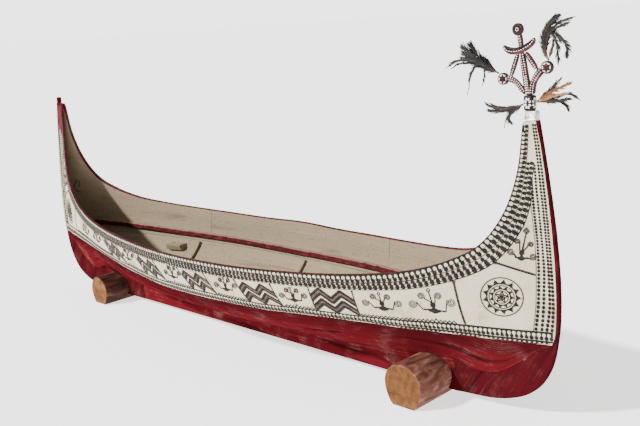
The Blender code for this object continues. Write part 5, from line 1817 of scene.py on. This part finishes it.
# A small dark curl on the inner face near the stern, as raised strokes.
sternMark = {
    "stroke": 0.0021,
    "curls": (((-1.659, 0.0323, 0.66), (-1.671, 0.0284, 0.639), (-1.686, 0.0234, 0.611),
               (-1.681, 0.0265, 0.595), (-1.664, 0.0352, 0.582), (-1.644, 0.0449, 0.577)),
              ((-1.656, 0.034, 0.654), (-1.644, 0.04, 0.647), (-1.644, 0.0415, 0.628),
               (-1.656, 0.0372, 0.612))),
}


def sternMarkPiece():
    strokes = []
    for curl in sternMark["curls"]:
        path = [at for at, _, _ in alongPath(curl, 0.004)]
        strokes.append(tube("stroke", path, [sternMark["stroke"]] * len(path), 6, sootFinish))
    fitPiece(joinPieces("stern_mark_port", strokes), "inside_tan_paint")


sternMarkPiece()
print("carving is built")

# Where the camera stood for the photograph.
camera = {
    "eye": (3.3688, -2.8689, 1.5977), "yaw": 0.7837, "pitch": 0.2149, "roll": -0.0644,
    "lens": 49.96, "sensor": 36.0,
}


def addCamera():
    s = camera
    made = bpy.data.objects.new("camera", bpy.data.cameras.new("camera"))
    made.data.lens, made.data.sensor_width = s["lens"], s["sensor"]
    made.data.sensor_fit = "HORIZONTAL"
    made.data.clip_end = 900
    made.matrix_world = (Matrix.Translation(s["eye"]) @ Matrix.Rotation(s["yaw"], 4, "Z")
                         @ Matrix.Rotation(math.pi / 2 - s["pitch"], 4, "X")
                         @ Matrix.Rotation(s["roll"], 4, "Z"))
    bpy.context.scene.collection.objects.link(made)
    bpy.context.scene.camera = made


studio = {
    "floor": "#f8f7f6", "half": 400.0, "glow": 1.5, "rim": 2.0, "rimHeights": (0.07, 0.12),
    "horizon": 1.3, "zenith": 0.42,
    "keyFrom": (-0.405, -0.7, 0.588), "keyStrength": 7.5, "keySpread": 4.0,
}


def addStudio():
    # A very wide pale floor under a soft white sky that is brightest low down, and one key light.
    s = studio
    made, _, _ = startMaterial("paleStudioFloor", {
        "Roughness": 0.95, "Specular IOR Level": 0.0, "Base Color": linear(s["floor"]),
        "Emission Color": linear(s["floor"]), "Emission Strength": s["glow"]})
    half = s["half"]
    floor = addMesh("floor", [(-half, -half, 0), (half, -half, 0), (half, half, 0), (-half, half, 0)],
                    [(0, 1, 2, 3)], [made], flat=True)
    world = bpy.data.worlds.new("softStudio")
    bpy.context.scene.world = world
    world.use_nodes = True
    sky = world.node_tree
    up = upPart(sky, addNode(sky, "ShaderNodeTexCoord").outputs["Generated"])
    wide = remap(sky, up, 0.0, 0.5, s["zenith"], s["horizon"])
    low = remap(sky, up, *s["rimHeights"], 0.0, s["rim"])
    sky.links.new(calculate(sky, "ADD", wide, low), sky.nodes["Background"].inputs["Strength"])
    sky.nodes["Background"].inputs["Color"].default_value = (1, 1, 1, 1)
    key = bpy.data.objects.new("key", bpy.data.lights.new("key", "SUN"))
    key.data.energy = s["keyStrength"]
    key.data.angle = math.radians(s["keySpread"])
    key.rotation_euler = Vector(s["keyFrom"]).to_track_quat("Z", "Y").to_euler()
    bpy.context.scene.collection.objects.link(key)


addCamera()
addStudio()
bpy.context.view_layer.update()
